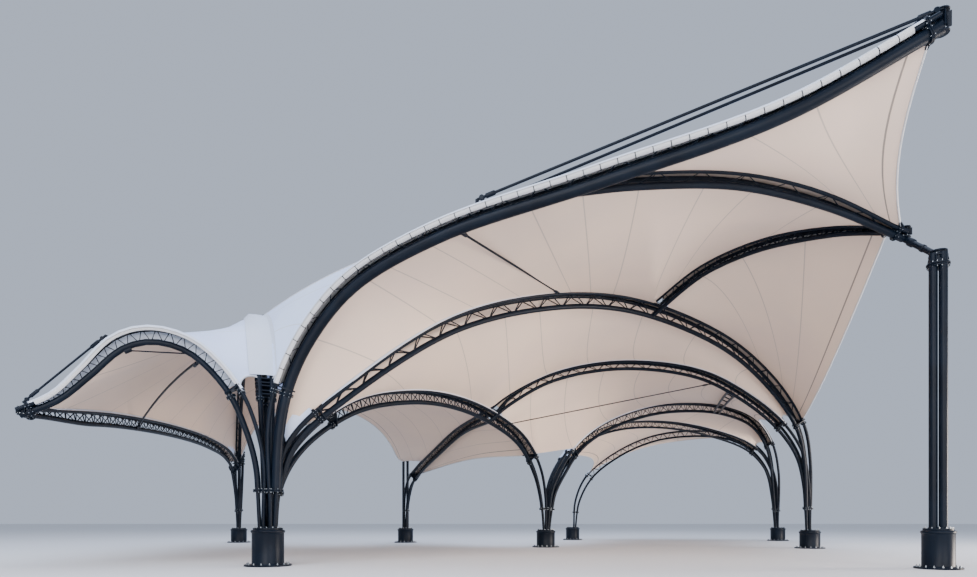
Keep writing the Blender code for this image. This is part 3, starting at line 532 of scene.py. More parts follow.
class ArchLine:
    # the three smooth chord lines of one arch, from base to base
    def __init__(self, name):
        self.plan = arches[name]
        start, finish = (planPoint(e) for e in self.plan["ends"])
        heading = (finish - start).normalized()
        self.left = Vector((-heading.y, heading.x, 0.0))
        span = (finish - start).length
        flat = curveThrough(self.plan["guide"])
        lean = self.left * self.plan["lean"]
        self.middle = [start + heading * p.x + upward * p.y
                       + lean * sin(pi * min(max(p.x / span, 0), 1)) for p in flat]
        self.run = lengthsOf(self.middle)
        self.length = self.run[-1]
        self.distances = [p.x for p in flat]
        self.pulls = {}

    def share(self, at):
        # how much of the full width and depth is left near an end
        share = 1.0
        for end, gone, taper in zip(self.plan["ends"], (at, self.length - at), self.plan["taper"]):
            if isinstance(end, tuple):
                continue
            least = arch["rootShare"]
            if isinstance(end, Vector):
                least = next(left for spot, left in arch["tipShares"] if spot == end)
            share = min(share, least + (1 - least) * smoothStep(gone / taper))
        return share

    def axes(self, at):
        ahead = along(self.middle, self.run, at + 0.05) - along(self.middle, self.run, at - 0.05)
        heading = ahead.normalized()
        side = (self.left - heading * self.left.dot(heading)).normalized()
        return heading, side, heading.cross(side)

    def point(self, chord, at):
        if at < 0:
            at += self.length
        _, side, up = self.axes(at)
        share = self.share(at)
        deep = up * self.plan["size"][0] * share
        spot = along(self.middle, self.run, at)
        if self.plan["line"] == "low":
            spot = spot + deep
        if chord == "low":
            spot = spot - deep
        else:
            spot = spot + side * arch["width"] / 2 * share * (1 if chord == "left" else -1)
        for end, pull in self.pulls.get(chord, {}).items():
            gone = at if end == 0 else self.length - at
            spot = spot + pull * max(0.0, 1 - gone / arch["bay"]) ** 1.5
        return spot

    def radius(self, chord):
        return self.plan["size"][2 if chord == "low" else 1]

    def lengthAt(self, distance):
        return next((run for run, d in zip(self.run, self.distances) if d >= distance), self.run[-1])

    def line(self, chord, start, finish, step=0.32):
        count = max(int(abs(finish - start) / step), 2)
        return [self.point(chord, start + (finish - start) * i / count) for i in range(count + 1)]

    def way(self, at):
        return (self.point("low", at + 0.5) - self.point("low", at - 0.5)).normalized()


lines = {name: ArchLine(name) for name in arches}
for branch in lines.values():
    # chords that spring from another arch start inside that arch's chords
    for index, end in enumerate(branch.plan["ends"]):
        if isinstance(end, tuple):
            host = lines[end[0]]
            at = host.lengthAt(end[1])
            here = 0.0 if index == 0 else branch.length
            shift = arch["branchWidth"] / 2 / branch.left.dot(host.way(at))
            skew = branch.plan["skew"]
            targets = {"low": host.point("low", at), "left": host.point(end[2], at + skew + shift),
                       "right": host.point(end[2], at + skew - shift)}
            found = {chord: target - branch.point(chord, here) for chord, target in targets.items()}
            for chord, pull in found.items():
                branch.pulls.setdefault(chord, {})[index] = pull
print("arch lines laid out")


def lattice(piece, line, start, finish):
    # zigzag rods between the chords, welded on at even steps
    rod = line.plan["brace"]
    bays = max(round((finish - start) / line.plan["pitch"]), 2)
    spots = [start + (finish - start) * i / bays for i in range(bays + 1)]
    for i, (a, b) in enumerate(zip(spots, spots[1:])):
        low = line.point("low", (a + b) / 2)
        for chord in ("left", "right"):
            piece.tube([line.point(chord, a), low], rod, 6)
            piece.tube([low, line.point(chord, b)], rod, 6)
        if i % 2 == 0:
            piece.tube([line.point("left", a), line.point("right", a)], rod * 0.85, 6)


# plates that hold the three chords together just past the legs; the ridge has a stack of them
clamp = {
    "past": (0.2,), "stacks": {"ridge": (0.22, 0.34, 0.52, 0.64, 0.8)},
    "thick": 0.045, "margin": 0.05, "over": 0.4, "under": 0.6, "foot": 0.8, "footHalf": 0.7,
}


def clampPlate(piece, line, at):
    _, side, up = line.axes(at)
    left, right, low = (line.point(chord, at) for chord in chords)
    reach = line.radius("left") + clamp["margin"]
    drop = line.radius("low") + clamp["margin"]
    out, over, under = side * reach, up * reach * clamp["over"], up * reach * clamp["under"]
    footOut, footDown = side * drop * clamp["footHalf"], up * drop * clamp["foot"]
    piece.plate([left + out + over, right - out + over, right - out - under,
                 low - footOut - footDown, low + footOut - footDown, left + out - under], clamp["thick"])


for name, line in lines.items():
    piece = Piece()
    first, last = line.plan["legs"]
    begin, stop = first, line.length - last
    ends = [(at, inward) for leg, at, inward in ((first, begin, 1), (last, stop, -1)) if leg]
    for chord in chords:
        piece.tube(line.line(chord, begin, stop), line.radius(chord), arch["sides"])
        for at, inward in ends:
            piece.flange(line.point(chord, at + inward * arch["flangeIn"]), line.axes(at)[0],
                         line.radius(chord))
    for at, inward in ends:
        for past in clamp["stacks"].get(name, clamp["past"]):
            clampPlate(piece, line, at + inward * past)
    lattice(piece, line, begin + arch["braceIn"], stop - arch["braceIn"])
    piece.finished(name + "_steel", steel, "steel", "arch_" + name)
print("arches made")

# drums and the trees of legs on them; a bolting is its ring radius, count, size and height
drumLook = {
    "radius": 0.475, "rim": 0.505, "rimHeight": 0.08, "foot": 0.70, "footThick": 0.05,
    "footBolting": (0.61, 16, 0.026, 0.06), "tall": 1.1, "low": 0.85, "sides": 64,
    "edge": 0.006,       # rounding of the foot plate
    "weld": 0.007,       # seams that run up the rolled drum
    "mastShare": 0.87,   # the mast's drum is slimmer
}
topPlate = {
    "radius": 0.44, "thick": 0.06, "bolting": (0.395, 14, 0.018, 0.045), "lift": 0.0003, "sides": 48,
}
rearPost = {
    "top": 5.2, "spread": 0.13, "radius": 0.08, "cap": 0.23, "capThick": 0.03,
    "bolting": (0.19, 8, 0.016, 0.03),
}
# below a bolted collar each leg is a slimmer stub, drawn in towards the column's middle
stub = {
    "above": 1.1, "radius": 0.06, "draw": 0.22, "bolts": 6, "clear": 0.12, "steps": 24,
    "weld": ((0.03, 0), (0.012, 0.03), (0, 0.045)),  # wider than the stub by this, at this height
}


def makeDrum(ground, top, share):
    r, rim, foot = (drumLook[key] * share for key in ("radius", "rim", "foot"))
    thick, edge, under = drumLook["footThick"], drumLook["edge"], top - drumLook["rimHeight"]
    piece = Piece()
    piece.turned(ground, upward, [
        (foot - edge, 0.0), (foot, edge), (foot, thick - edge), (foot - edge, thick),
        (r + 0.025, thick), (r + 0.008, thick + 0.012), (r, thick + 0.028),  # fillet weld
        (r, top - 0.11), (r + 0.006, under - 0.012), (rim - 0.012, under), (rim, under + 0.012),
        (rim, top - 0.03), (rim - 0.018, top - 0.008), (rim - 0.045, top)], drumLook["sides"])
    reach, *others = drumLook["footBolting"]
    piece.bolts(ground + upward * thick, upward, reach * share, *others)
    for i in range(4):
        out = ground + level(pi / 4 + i * pi / 2) * r
        piece.tube([out + upward * 0.08, out + upward * (top - 0.1)], drumLook["weld"], 6)
    return piece


def addLeg(tree, line, atEnd, chord, ground, top):
    leg = line.plan["legs"][atEnd]
    places = [leg * i / stub["steps"] for i in range(stub["steps"] + 1)]
    run = [line.point(chord, line.length - s if atEnd else s) for s in places]
    collar = top + stub["above"]
    split = next(i for i, p in enumerate(run) if p.z >= collar)
    tree.tube(run[split:], line.radius(chord), arch["sides"])
    start = Vector((run[0].x, run[0].y, top + topPlate["lift"] + topPlate["thick"] / 2))
    lower = [start] + [p for p in run[1:split + 1] if p.z > top + stub["clear"]]
    lower = [p.lerp(ground + upward * p.z, stub["draw"] * max(collar - p.z, 0.0) / stub["above"])
             for p in lower]
    tree.tube(lower, stub["radius"], arch["sides"])
    tree.turned(lower[0] + upward * 0.02, upward, [(stub["radius"] + more, h) for more, h in stub["weld"]],
                arch["sides"])
    tree.flange(run[split], run[split] - run[split - 1], line.radius(chord), stub["bolts"])


for column, (x, y) in columns.items():
    top = drumLook["tall"] if column in ("front", "mast") else drumLook["low"]
    ground = Vector((x, y, 0))
    drum = makeDrum(ground, top, drumLook["mastShare"] if column == "mast" else 1.0)
    drum.steelPart("drum_" + column)
    if column == "mast":
        continue
    tree = Piece()
    foot = top + topPlate["lift"]
    tree.boltedDisc(ground + upward * (foot + topPlate["thick"] / 2), upward, topPlate["radius"],
                    topPlate["thick"], topPlate["sides"], topPlate["bolting"])
    for line in lines.values():
        for atEnd, end in enumerate(line.plan["ends"]):
            if end == column:
                for chord in chords:
                    addLeg(tree, line, atEnd, chord, ground, top)
    if column == "rear":
        # two uprights beside the arch hold a corner of the cloth
        for shift in (-rearPost["spread"], rearPost["spread"]):
            base = ground + Vector((shift, 0, foot))
            tree.tube([base, base + upward * (rearPost["top"] - foot)], rearPost["radius"], 16)
        cap, thick = ground + upward * rearPost["top"], rearPost["capThick"]
        tree.disc(cap - upward * thick, upward, rearPost["cap"], thick, 24)
        tree.boltedDisc(cap + upward * thick, upward, rearPost["cap"], thick, 24, rearPost["bolting"])
    tree.steelPart("tree_" + column)
print("drums and trees made")

# mast: four tubes side by side under a bolted head
mast = {
    "tube": 0.112, "spread": 0.17, "turn": radians(10.3), "top": 9.15, "bolts": 12,
    "weld": ((0.02, 0), (0.01, 0.03), (0, 0.05)),  # round each tube's foot, as on the stubs
    # the head, with how far each part lies below the top: plates as (below, radius), rings of bolts as
    # (below, facing, ring radius, count, height), and the turned block
    "plates": ((0.46, 0.285), (0.40, 0.3)), "plateThick": 0.045,
    "rings": ((0.377, 1, 0.26, 14, 0.045), (0.482, -1, 0.25, 14, 0.035), (0.14, 1, 0.215, 8, 0.04)),
    "bolt": 0.016, "blockBelow": 0.38, "sides": 40, "ribs": 8, "ribThick": 0.02,
    # the turned block on the head's plates, as (radius, height)
    "block": [(0.23, 0), (0.23, 0.1), (0.2, 0.12), (0.2, 0.2), (0.245, 0.2), (0.245, 0.24),
              (0.18, 0.25), (0.18, 0.33), (0.23, 0.33), (0.23, 0.37)],
    # a rib's corners, as (distance out, height) from the head's top
    "rib": [(0.18, -0.38), (0.28, -0.38), (0.24, -0.18), (0.18, -0.18)],
}
share = drumLook["mastShare"]
mastFoot = Vector((*columns["mast"], drumLook["tall"] + topPlate["lift"]))
piece = Piece()
reach, _, size, proud = topPlate["bolting"]
piece.boltedDisc(mastFoot + upward * topPlate["thick"] / 2, upward, topPlate["radius"] * share,
                 topPlate["thick"], topPlate["sides"], (reach * share, mast["bolts"], size, proud))
mastTall = mast["top"] - mastFoot.z
for i in range(4):
    spot = mastFoot + level(mast["turn"] + i * pi / 2) * mast["spread"]
    piece.tube([spot + upward * 0.01, spot + upward * (mastTall - 0.1)], mast["tube"], 24)
    piece.turned(spot + upward * 0.05, upward, [(mast["tube"] + more, h) for more, h in mast["weld"]], 24)
head = mastFoot + upward * mastTall
for below, radius in mast["plates"]:
    piece.disc(head - upward * below, upward, radius, mast["plateThick"], mast["sides"])
for below, facing, reach, count, proud in mast["rings"]:
    piece.bolts(head - upward * below, upward * facing, reach, count, mast["bolt"], proud)
piece.turned(head - upward * mast["blockBelow"], upward, mast["block"], mast["sides"])
for i in range(mast["ribs"]):
    out = level(i * 2 * pi / mast["ribs"])
    piece.plate([head + out * r + upward * h for r, h in mast["rib"]], mast["ribThick"])
piece.steelPart("mast_post")

# short strut from the mast's head to the roof's peak, with a socket and a collar
strut = {
    "radius": 0.09, "under": 0.2, "below": 0.15, "reach": 0.92,
    "sockets": ((0.22, 0.12, (0, 0.03, 0.2, 0.25)), (0.82, 0.108, (0, 0.02, 0.1, 0.12))),
}
piece = Piece()
low = head - upward * strut["below"]
high = peak - upward * strut["under"]
heading = (low - high).normalized()
piece.tube([high, high.lerp(low, strut["reach"])], strut["radius"], 20)
for at, outer, heights in strut["sockets"]:
    piece.socket(high + heading * at, heading, strut["radius"], outer, heights)
piece.steelPart("mast_strut")
print("mast made")


# end nodes: a stub tube, plates and bolted flanges where the chords of two arches meet in the air
tips = {
    "front_tip_node": {"at": frontTip, "radius": 0.1, "height": 0.5, "arches": ("front_rail",)},
    "wing_tip_node": {"at": wingTip, "radius": 0.07, "height": 0.2, "arches": ("wing_rail", "wing_back")},
    "peak_node": {"at": peak, "radius": 0.1, "height": 0.3, "arches": ("brow", "rib")},
}
tipDisc = {"wide": 0.07, "thick": 0.03, "boltsOut": 0.04, "bolting": (8, 0.016, 0.035)}
tipChord = {"flangeAt": 0.3, "bolts": 6, "stub": 0.85, "spoke": 0.7, "spokeTo": 0.25}  # shares of the chord
tipPlates = {"count": 3, "past": 0.1, "turn": 0.3, "rise": 0.36, "thick": 0.018}
for node, tip in tips.items():
    piece = Piece()
    middle, radius, height = tip["at"], tip["radius"], tip["height"]
    base = middle - upward * height / 2
    piece.turned(base, upward, [(radius, 0), (radius, height)], 24)
    for h in (0.0, height):
        piece.boltedDisc(base + upward * h, upward, radius + tipDisc["wide"], tipDisc["thick"], 24,
                         (radius + tipDisc["boltsOut"], *tipDisc["bolting"]))
    for name in tip["arches"]:
        line = lines[name]
        at, inward = (0.0, 1) if line.plan["ends"][0] == middle else (line.length, -1)
        for chord in chords:
            thick = line.radius(chord)
            start, end, beyond = (line.point(chord, at + inward * tipChord["flangeAt"] * n) for n in range(3))
            piece.flange(end, beyond - end, thick, tipChord["bolts"])
            piece.tube([start, end], thick * tipChord["stub"], 14)
            piece.tube([start, middle.lerp(start, tipChord["spokeTo"])], thick * tipChord["spoke"], 12)
    for i in range(tipPlates["count"]):
        out = level(i * pi / tipPlates["count"] + tipPlates["turn"]) * (radius + tipPlates["past"])
        rise = upward * height * tipPlates["rise"]
        piece.plate([middle - out - rise, middle + out - rise, middle + out + rise, middle - out + rise],
                    tipPlates["thick"])
    piece.steelPart(node)
print("end nodes made")


# plain members: ties over the rails, struts and the thin tie rod
members = {
    "tie_front_near": {"from": ("front_rail", "right", 6.8), "to": frontTip + Vector((-0.03, -0.1, 0.24)),
                       "radius": 0.04, "lift": 0.2},
    "tie_front_far": {"from": ("front_rail", "left", 6.8), "to": frontTip + Vector((0.03, 0.1, 0.24)),
                      "radius": 0.04, "lift": 0.2},
    "tie_wing": {"from": ("wing_rail", "left", 4.1), "to": wingTip + Vector((0.0, 0.0, 0.23)),
                 "radius": 0.03, "lift": 0.2},
    "strut_wing": {"from": ("wing_rail", "low", 1.9), "to": ("wing_back", "low", 7.4),
                   "radius": 0.036, "bow": 0.25},
    "strut_roof": {"from": ("front_rail", "low", 6.0), "to": ("main", "right", 10.6), "radius": 0.036},
    "tie_rod": {"from": ("cross", "low", 12.6), "to": ("inner", "low", 11.0), "radius": 0.024},
}
# the forked end of a member: a sleeve and an eye, as shares of its radius and metres from the end
fork = {
    "sleeveAt": 0.25, "sleeve": 1.7, "heights": (0, 0.02, 0.26, 0.3),
    "eyeAt": 0.14, "eye": 1.8, "thick": 2.6,
}


def memberPoint(end):
    if isinstance(end, Vector):
        return end
    line = lines[end[0]]
    return line.point(end[1], line.lengthAt(end[2]))


for name, member in members.items():
    piece = Piece()
    a, b = memberPoint(member["from"]), memberPoint(member["to"])
    radius, lift = member["radius"], upward * member.get("lift", 0.0)
    if lift.length:
        piece.tube([a, a + lift], radius * 1.3, 12)
        a = a + lift
    heading = (b - a).normalized()
    piece.tube(bowedLine(a, b, member.get("bow", 0.0), 12), radius, 12)
    for end, way in ((a, heading), (b, -heading)):
        piece.socket(end + way * fork["sleeveAt"], way, radius, radius * fork["sleeve"], fork["heights"], 12)
        piece.disc(end + way * fork["eyeAt"], way.cross(upward), radius * fork["eye"],
                   radius * fork["thick"], 16)
    piece.steelPart(name)

# a thin rod hung under the wing rail from a small clamp
wingRod = {"from": 7.55, "to": 5.8, "hang": 0.12, "radius": 0.02, "clamp": 0.07}
piece = Piece()
rail = lines["wing_rail"]
held = rail.point("low", wingRod["from"])
hung = held - upward * wingRod["hang"]
piece.tube([held, hung], wingRod["clamp"] * 0.6, 10)
piece.disc(hung, rail.axes(wingRod["from"])[0], wingRod["clamp"], wingRod["clamp"] * 3, 16)
piece.tube([hung, rail.point("low", wingRod["to"])], wingRod["radius"], 10)
piece.finished("wing_rod_steel", [steelPaint], "steel")

# the ladder-like link between the inner arch and the diagonal arch
link = {
    "from": ("inner", 12.1), "to": ("diagonal", 13.5), "width": 0.34, "rise": 0.1, "radius": 0.06,
    "steps": 20, "rungs": (2, 5, 8, 12, 15, 18), "rung": 0.03,
}
piece = Piece()
linkEnds = [(lines[name], lines[name].lengthAt(at)) for name, at in (link["from"], link["to"])]
nearEnd, farEnd = (line.point("low", at) for line, at in linkEnds)
across = (farEnd - nearEnd).cross(upward).normalized()
rails = []
for half in (link["width"] / 2, -link["width"] / 2):
    spots = [line.point("low", at + half / across.dot(line.way(at))) for line, at in linkEnds]
    rails.append(bowedLine(*spots, link["rise"], link["steps"]))
    piece.tube(rails[-1], link["radius"], 14)
for i in link["rungs"]:
    piece.tube([rails[0][i], rails[1][i]], link["rung"], 8)
piece.steelPart("link")
print("ties, struts and link made")


# stretched sheets: two long edges as runs of (arch, chord, from, to), the dip between them, how deep
# the free edges cut in at each end, the weld lines as (share along edge one, share along edge two) or
# how many even ones, and which ends carry a belt
postCorner = Vector((*columns["rear"], rearPost["top"]))
sheets = {
    "sheet_wing": {
        "one": [("ridge", "left", 4.95, -4.5)],
        "two": [("wing_rail", "right", 4.3, -0.4), ("wing_back", "right", 0.4, -4.7)],
        "dip": 0.015, "cuts": (0.25, 0.8), "welds": 9, "belts": (),
    },
    "sheet_saddle": {
        "one": [("ridge", "right", 4.95, 11.6)], "two": [("front_rail", "left", 4.4, 10.2)],
        "dip": -0.03, "cuts": (0.2, 0.1), "welds": 2, "belts": (),
    },
    "sheet_roof": {
        "one": [("front_rail", "left", 2.7, 14.14), ("brow", "left", 0.0, -0.3)],
        "two": [("main", "right", 2.7, 19.98), ("rib", "right", 0.0, -0.3)],
        "dip": 0.012, "cuts": (0.1, 0.0), "belts": (),
        "welds": [(0.148, 0.153), (0.255, 0.254), (0.285, 0.315), (0.346, 0.392), (0.486, 0.479),
                  (0.555, 0.515), (0.631, 0.557), (0.724, 0.649), (0.796, 0.703), (0.893, 0.854)],
    },
    "sheet_tip": {
        "one": [("front_rail", "left", 15.2, -1.6), ("front_rail", "low", -0.35, -0.25)],
        "two": [("brow", "right", 0.7, -0.25)],
        "dip": 0.05, "cuts": (0.0, 0.42), "welds": [(0.468, 0.757), (0.686, 0.904)], "belts": ("last",),
    },
    "sheet_side": {
        "one": [("rib", "left", 0.4, -0.3)], "two": [("main", "right", 20.6, -5.6)],
        "dip": 0.05, "cuts": (0.0, 0.15), "belts": ("last",),
        "welds": [(0.186, 0.595), (0.396, 0.79), (0.685, 0.885)],
    },
    "sheet_middle": {
        "one": [("main", "left", 3.4, -5.6)],
        "two": [("cross", "right", 4.8, 14.2), ("inner", "right", 0.3, -5.8)],
        "dip": 0.05, "cuts": (0.3, 0.5), "belts": (),
        "welds": [(0.12, 0.15), (0.253, 0.318), (0.338, 0.42), (0.399, 0.499), (0.5, 0.58),
                  (0.6, 0.67), (0.72, 0.77), (0.86, 0.88)],
    },
    "sheet_rear": {
        "one": [("ridge", "low", 4.9, -4.6)],
        "two": [("cross", "left", 4.8, 14.2), ("rear_half", "right", -0.4, 6.2), postCorner],
        "dip": 0.05, "cuts": (0.4, 8.5), "welds": 8, "belts": ("last",),
    },
    "sheet_inner": {
        "one": [("rear_half", "left", 4.2, -0.6)], "two": [("cross", "left", -4.2, 15.4)],
        "dip": 0.05, "cuts": (1.6, 0.0), "welds": 2, "belts": ("first",),
    },
    "sheet_field": {
        "one": [("inner", "left", 0.4, -5.8)],
        "two": [("cross", "right", 15.4, -4.2), ("diagonal", "right", 4.8, -6.0)],
        "dip": 0.02, "cuts": (0.0, 1.6), "welds": 7, "belts": ("last",),
    },
    "sheet_band": {
        "one": [("diagonal", "left", 4.9, -6.0)], "two": [("bowed", "right", 4.9, -6.0)],
        "dip": 0.03, "cuts": (0.3, 0.3), "welds": 5, "belts": (),
    },
    "sheet_back": {
        "one": [("bowed", "left", 4.9, -6.0)], "two": [("far_arch", "right", 4.1, -6.6)],
        "dip": 0.05, "cuts": (1.8, 0.4), "welds": 5, "belts": ("first",),
    },
    "sheet_verge": {
        "one": [("far_arch", "left", 4.1, -6.6)], "two": [],
        "dip": 0.03, "cuts": (0.2, 0.2), "welds": 4, "belts": ("outer",),
    },
}
cloth = {
    "thick": 0.006, "cell": 0.42, "cuff": 0.028, "inset": 0.06,
    "vergeReach": 1.25, "vergeDrop": 0.55, "vergeStart": 0.12,
    "farOff": 9.0,  # stands for no weld or belt near
}


def clothRuns(plan):
    return [run for run in plan["one"] + plan["two"] if isinstance(run, tuple)]


def edgeRun(runs):
    points = []
    for run in runs:
        if isinstance(run, Vector):
            points.append(run)
            continue
        line = lines[run[0]]
        a, b = (at + line.length if at < 0 else at for at in run[2:])
        for point in line.line(run[1], a, b, 0.25):
            if not points or (point - points[-1]).length > 0.05:
                points.append(point)
    return points


def vergeRun(points, side):
    run = lengthsOf(points)
    out = []
    for p, at in zip(points, run):
        bow = sin(pi * at / run[-1])
        reach = cloth["vergeStart"] + cloth["vergeReach"] * bow**0.7
        out.append(p + side * reach - upward * cloth["vergeDrop"] * bow)
    return out


class Surface:
    # a stretched sheet as a function of shares along and across it
    def __init__(self, plan):
        self.plan = plan
        self.one = edgeRun(plan["one"])
        self.two = edgeRun(plan["two"]) or vergeRun(self.one, lines[plan["one"][0][0]].left)
        self.runOne, self.runTwo = lengthsOf(self.one), lengthsOf(self.two)
        self.mean = (self.runOne[-1] + self.runTwo[-1]) / 2

    def point(self, u, v):
        bow = 4 * v * (1 - v)
        low = self.plan["cuts"][0] * bow / self.mean
        high = 1 - self.plan["cuts"][1] * bow / self.mean
        t = low + (high - low) * u
        a = along(self.one, self.runOne, t * self.runOne[-1])
        b = along(self.two, self.runTwo, t * self.runTwo[-1])
        wide = (b - a).length
        inset = cloth["inset"] / max(wide, cloth["inset"] * 2)
        spot = a.lerp(b, inset + v * (1 - inset * (2 if self.plan["two"] else 1)))
        return spot - upward * self.plan["dip"] * bow * wide


def sheetGrid(surface, welds):
    # columns of shares across, with a column on every weld line, how far each is between two welds
    # and in which panel
    ends = [(0.0, 0.0)] + welds + [(1.0, 1.0)]
    width = max((surface.point(t, 0) - surface.point(t, 1)).length for t in (0.1, 0.3, 0.5, 0.7, 0.9))
    rows = max(int(width / cloth["cell"]), 6)
    columns = []
    for n, ((a0, b0), (a1, b1)) in enumerate(zip(ends, ends[1:])):
        length = max((a1 - a0) * surface.runOne[-1], (b1 - b0) * surface.runTwo[-1])
        count = 2 * max(round(length / cloth["cell"] / 2), 1)
        for i in range(count + (n == len(ends) - 2)):
            f = i / count
            one, two = a0 + (a1 - a0) * f, b0 + (b1 - b0) * f
            columns.append(([one + (two - one) * r / rows for r in range(rows + 1)], f, n))
    return columns, rows, len(ends) - 2


def flatSize(grid):
    # width and length of the smallest rectangle that the sheet fits in once its columns are laid flat
    def third(a, b, fromA, fromB):
        gap = b - a
        x = (fromA**2 - fromB**2 + gap.length**2) / (2 * gap.length)
        y = sqrt(max(fromA**2 - x**2, 0.0))
        way = gap.normalized()
        return a + way * x + Vector((-way.y, way.x)) * y
    a, b = Vector((0.0, 0.0)), Vector(((grid[0][-1] - grid[0][0]).length, 0.0))
    outline = [a, b]
    for here, there in zip(grid, grid[1:]):
        nextA = third(a, b, (there[0] - here[0]).length, (there[0] - here[-1]).length)
        nextB = third(nextA, b, (there[-1] - there[0]).length, (there[-1] - here[-1]).length)
        a, b = nextA, nextB
        outline += [a, b]
    best = None
    for i in range(90):
        turn = radians(i)
        xs = [p.x * cos(turn) + p.y * sin(turn) for p in outline]
        ys = [p.y * cos(turn) - p.x * sin(turn) for p in outline]
        sides = sorted((max(xs) - min(xs), max(ys) - min(ys)))
        if best is None or sides[0] * sides[1] < best[0] * best[1]:
            best = sides
    return tuple(round(v, 1) for v in best)


def pushOut(grid, c, r):
    # half the cloth's thickness, square to the sheet and upward
    du = grid[min(c + 1, len(grid) - 1)][r] - grid[max(c - 1, 0)][r]
    dv = grid[c][min(r + 1, len(grid[c]) - 1)] - grid[c][max(r - 1, 0)]
    normal = du.cross(dv)
    normal = normal.normalized() if normal.length > 1e-9 else upward
    return normal * cloth["thick"] / 2 * (-1 if normal.z < 0 else 1)


def makeSheet(name, plan):
    surface = Surface(plan)
    welds = plan["welds"]
    if isinstance(welds, int):
        welds = [((i + 1) / (welds + 1),) * 2 for i in range(welds)]
    columns, rows, lastPanel = sheetGrid(surface, welds)
    grid = [[surface.point(u, r / rows) for r, u in enumerate(us)] for us, _, _ in columns]
    last = len(grid) - 1
    piece = Piece()
    layers = piece.cloth(grid, [[pushOut(grid, c, r) for r in range(rows + 1)] for c in range(last + 1)])
    # distance to the nearest weld and to the belted edge, for the finish to draw its lines
    farOff = cloth["farOff"]
    starts = {}
    for c, (_, _, panel) in enumerate(columns):
        starts.setdefault(panel, c)
    for c, (_, f, panel) in enumerate(columns):
        for r in range(rows + 1):
            span = (grid[starts.get(panel + 1, last)][r] - grid[starts[panel]][r]).length
            before = f * span if panel > 0 else farOff
            after = (1 - f) * span if panel < lastPanel else farOff
            belts = {"first": grid[0][r], "last": grid[-1][r], "outer": grid[c][rows]}
            toEdge = min([farOff] + [(grid[c][r] - belts[belt]).length for belt in plan["belts"]])
            toWeld = farOff if c == last else min(before, after)
            for start in layers:
                for key, value in (("seam", toWeld), ("edge", toEdge)):
                    piece.values[key][start + c * (rows + 1) + r] = value
    # the upper face takes the top copy's painted sky light, the lower face and rims the underside copy's
    # painted bounce light
    shown = piece.finished(name + "_cloth", [membraneUnderBounceLit, membraneTopSkyLit], "cloth", name)
    flat = flatSize(grid)
    return surface, grid


surfaces = {name: makeSheet(name, plan) for name, plan in sheets.items()}
print("sheets made")


# cover strips laid over the two upper chords, from (share across, height over the chords' centres)
strips = {
    "profile": [(-0.27, 0.012), (-0.24, 0.05), (-0.12, 0.086), (0.1, 0.094), (0.5, 0.1), (0.9, 0.094),
                (1.12, 0.086), (1.24, 0.05), (1.27, 0.012)],
    "narrow": [(-0.2, 0.03), (-0.1, 0.084), (0.5, 0.094), (1.1, 0.084), (1.2, 0.03)],  # on the ridge
    "skirt": 0.34, "tuck": 0.02,  # on the ridge its sides reach this far out, just over the sheets there
    "thick": 0.005, "step": 0.3, "past": 0.2, "clear": 0.3,
    "begins": {"front_rail": 4.4, "main": 4.4, "ridge": 5.0},  # past the front column's legs and clamps
    "litWhiteBelow": ("wing_rail", "front_rail"),
}


def skirtPoint(name, at, other):
    # a point on the sheet beside the ridge, just off its edge
    surface = surfaces[name][0]
    _, _, start, finish = surface.plan["one"][0]
    finish = finish if finish > 0 else finish + lines["ridge"].length
    if not start <= at <= finish:
        return other
    u = (at - start) / (finish - start)
    return surface.point(u, strips["skirt"] / (surface.point(u, 0) - surface.point(u, 1)).length)


for name, line in lines.items():
    runs = [run for plan in sheets.values() for run in clothRuns(plan) if run[0] == name]
    reached = [at + line.length if at < 0 else at for run in runs for at in run[2:]]
    begin = max(min(reached) - strips["past"], strips["begins"].get(name, strips["clear"]))
    stop = min(max(reached) + strips["past"], line.length - strips["clear"])
    grid, pushes = [], []
    for at in stations(begin, stop, strips["step"]):
        up = line.axes(at)[2]
        left, right = line.point("left", at), line.point("right", at)
        row = [left + (right - left) * w + up * lift
               for w, lift in strips["narrow" if name == "ridge" else "profile"]]
        if name == "ridge":
            row[0] = skirtPoint("sheet_wing", at, row[0]) + up * strips["tuck"]
            row[-1] = skirtPoint("sheet_saddle", at, row[-1]) + up * strips["tuck"]
        grid.append(row)
        pushes.append([up * strips["thick"] / 2] * len(row))
    piece = Piece()
    piece.cloth(grid, pushes)
    # the two rails' strips are lined with the brighter copy, painted light through the cloth; the others with
    # the underside copy's painted bounce light
    lining = stripClothBrightLit if name in strips["litWhiteBelow"] else membraneUnderBounceLit
    shown = piece.finished("strip_" + name, [lining, membraneTopSkyLit], "cloth")
    middle = grid[(len(grid) - 1) // 2]
print("cover strips made")

# white flaps that close the far side of two trusses, from an upper chord down to the lower one;
# the wing rail's hangs inside the chord and hides it
flaps = {
    "wing_rail": {"chord": "right", "from": 0.3, "short": 0.5, "inside": True, "shares": (0.0, 0.5, 0.9)},
    "rib": {"chord": "left", "from": 0.6, "short": 0.5, "inside": False, "shares": (0.12, 0.5, 0.9)},
}
flapForm = {"gap": 0.02, "depth": 0.78}  # clear of the tubes, and its share of the truss's slope
for name, flap in flaps.items():
    line, chord = lines[name], flap["chord"]
    begin, stop = line.plan["legs"][0] + flap["from"], line.length - flap["short"]
    grid, pushes = [], []
    for at in stations(begin, stop, strips["step"]):
        away = line.axes(at)[1] * (1 if (chord == "left") != flap["inside"] else -1)
        high, low = line.point(chord, at), line.point("low", at)
        row = []
        for share in flap["shares"]:
            clear = line.radius("low") * 0.9 * share + flapForm["gap"]
            if flap["inside"]:
                clear = (line.radius(chord) + flapForm["gap"]) * (1 - share)
            row.append(high.lerp(low, share) + away * clear)
        grid.append(row)
        pushes.append([away * strips["thick"] / 2] * len(row))
    piece = Piece()
    piece.cloth(grid, pushes)
    # the flap's faces take the brighter copy and the top copy: painted light
    shown = piece.finished("flap_" + name, [stripClothBrightLit, membraneTopSkyLit], "cloth")
    middle = (begin + stop) / 2
    slope = (line.point(chord, middle) - line.point("low", middle)).length
print("flaps made")

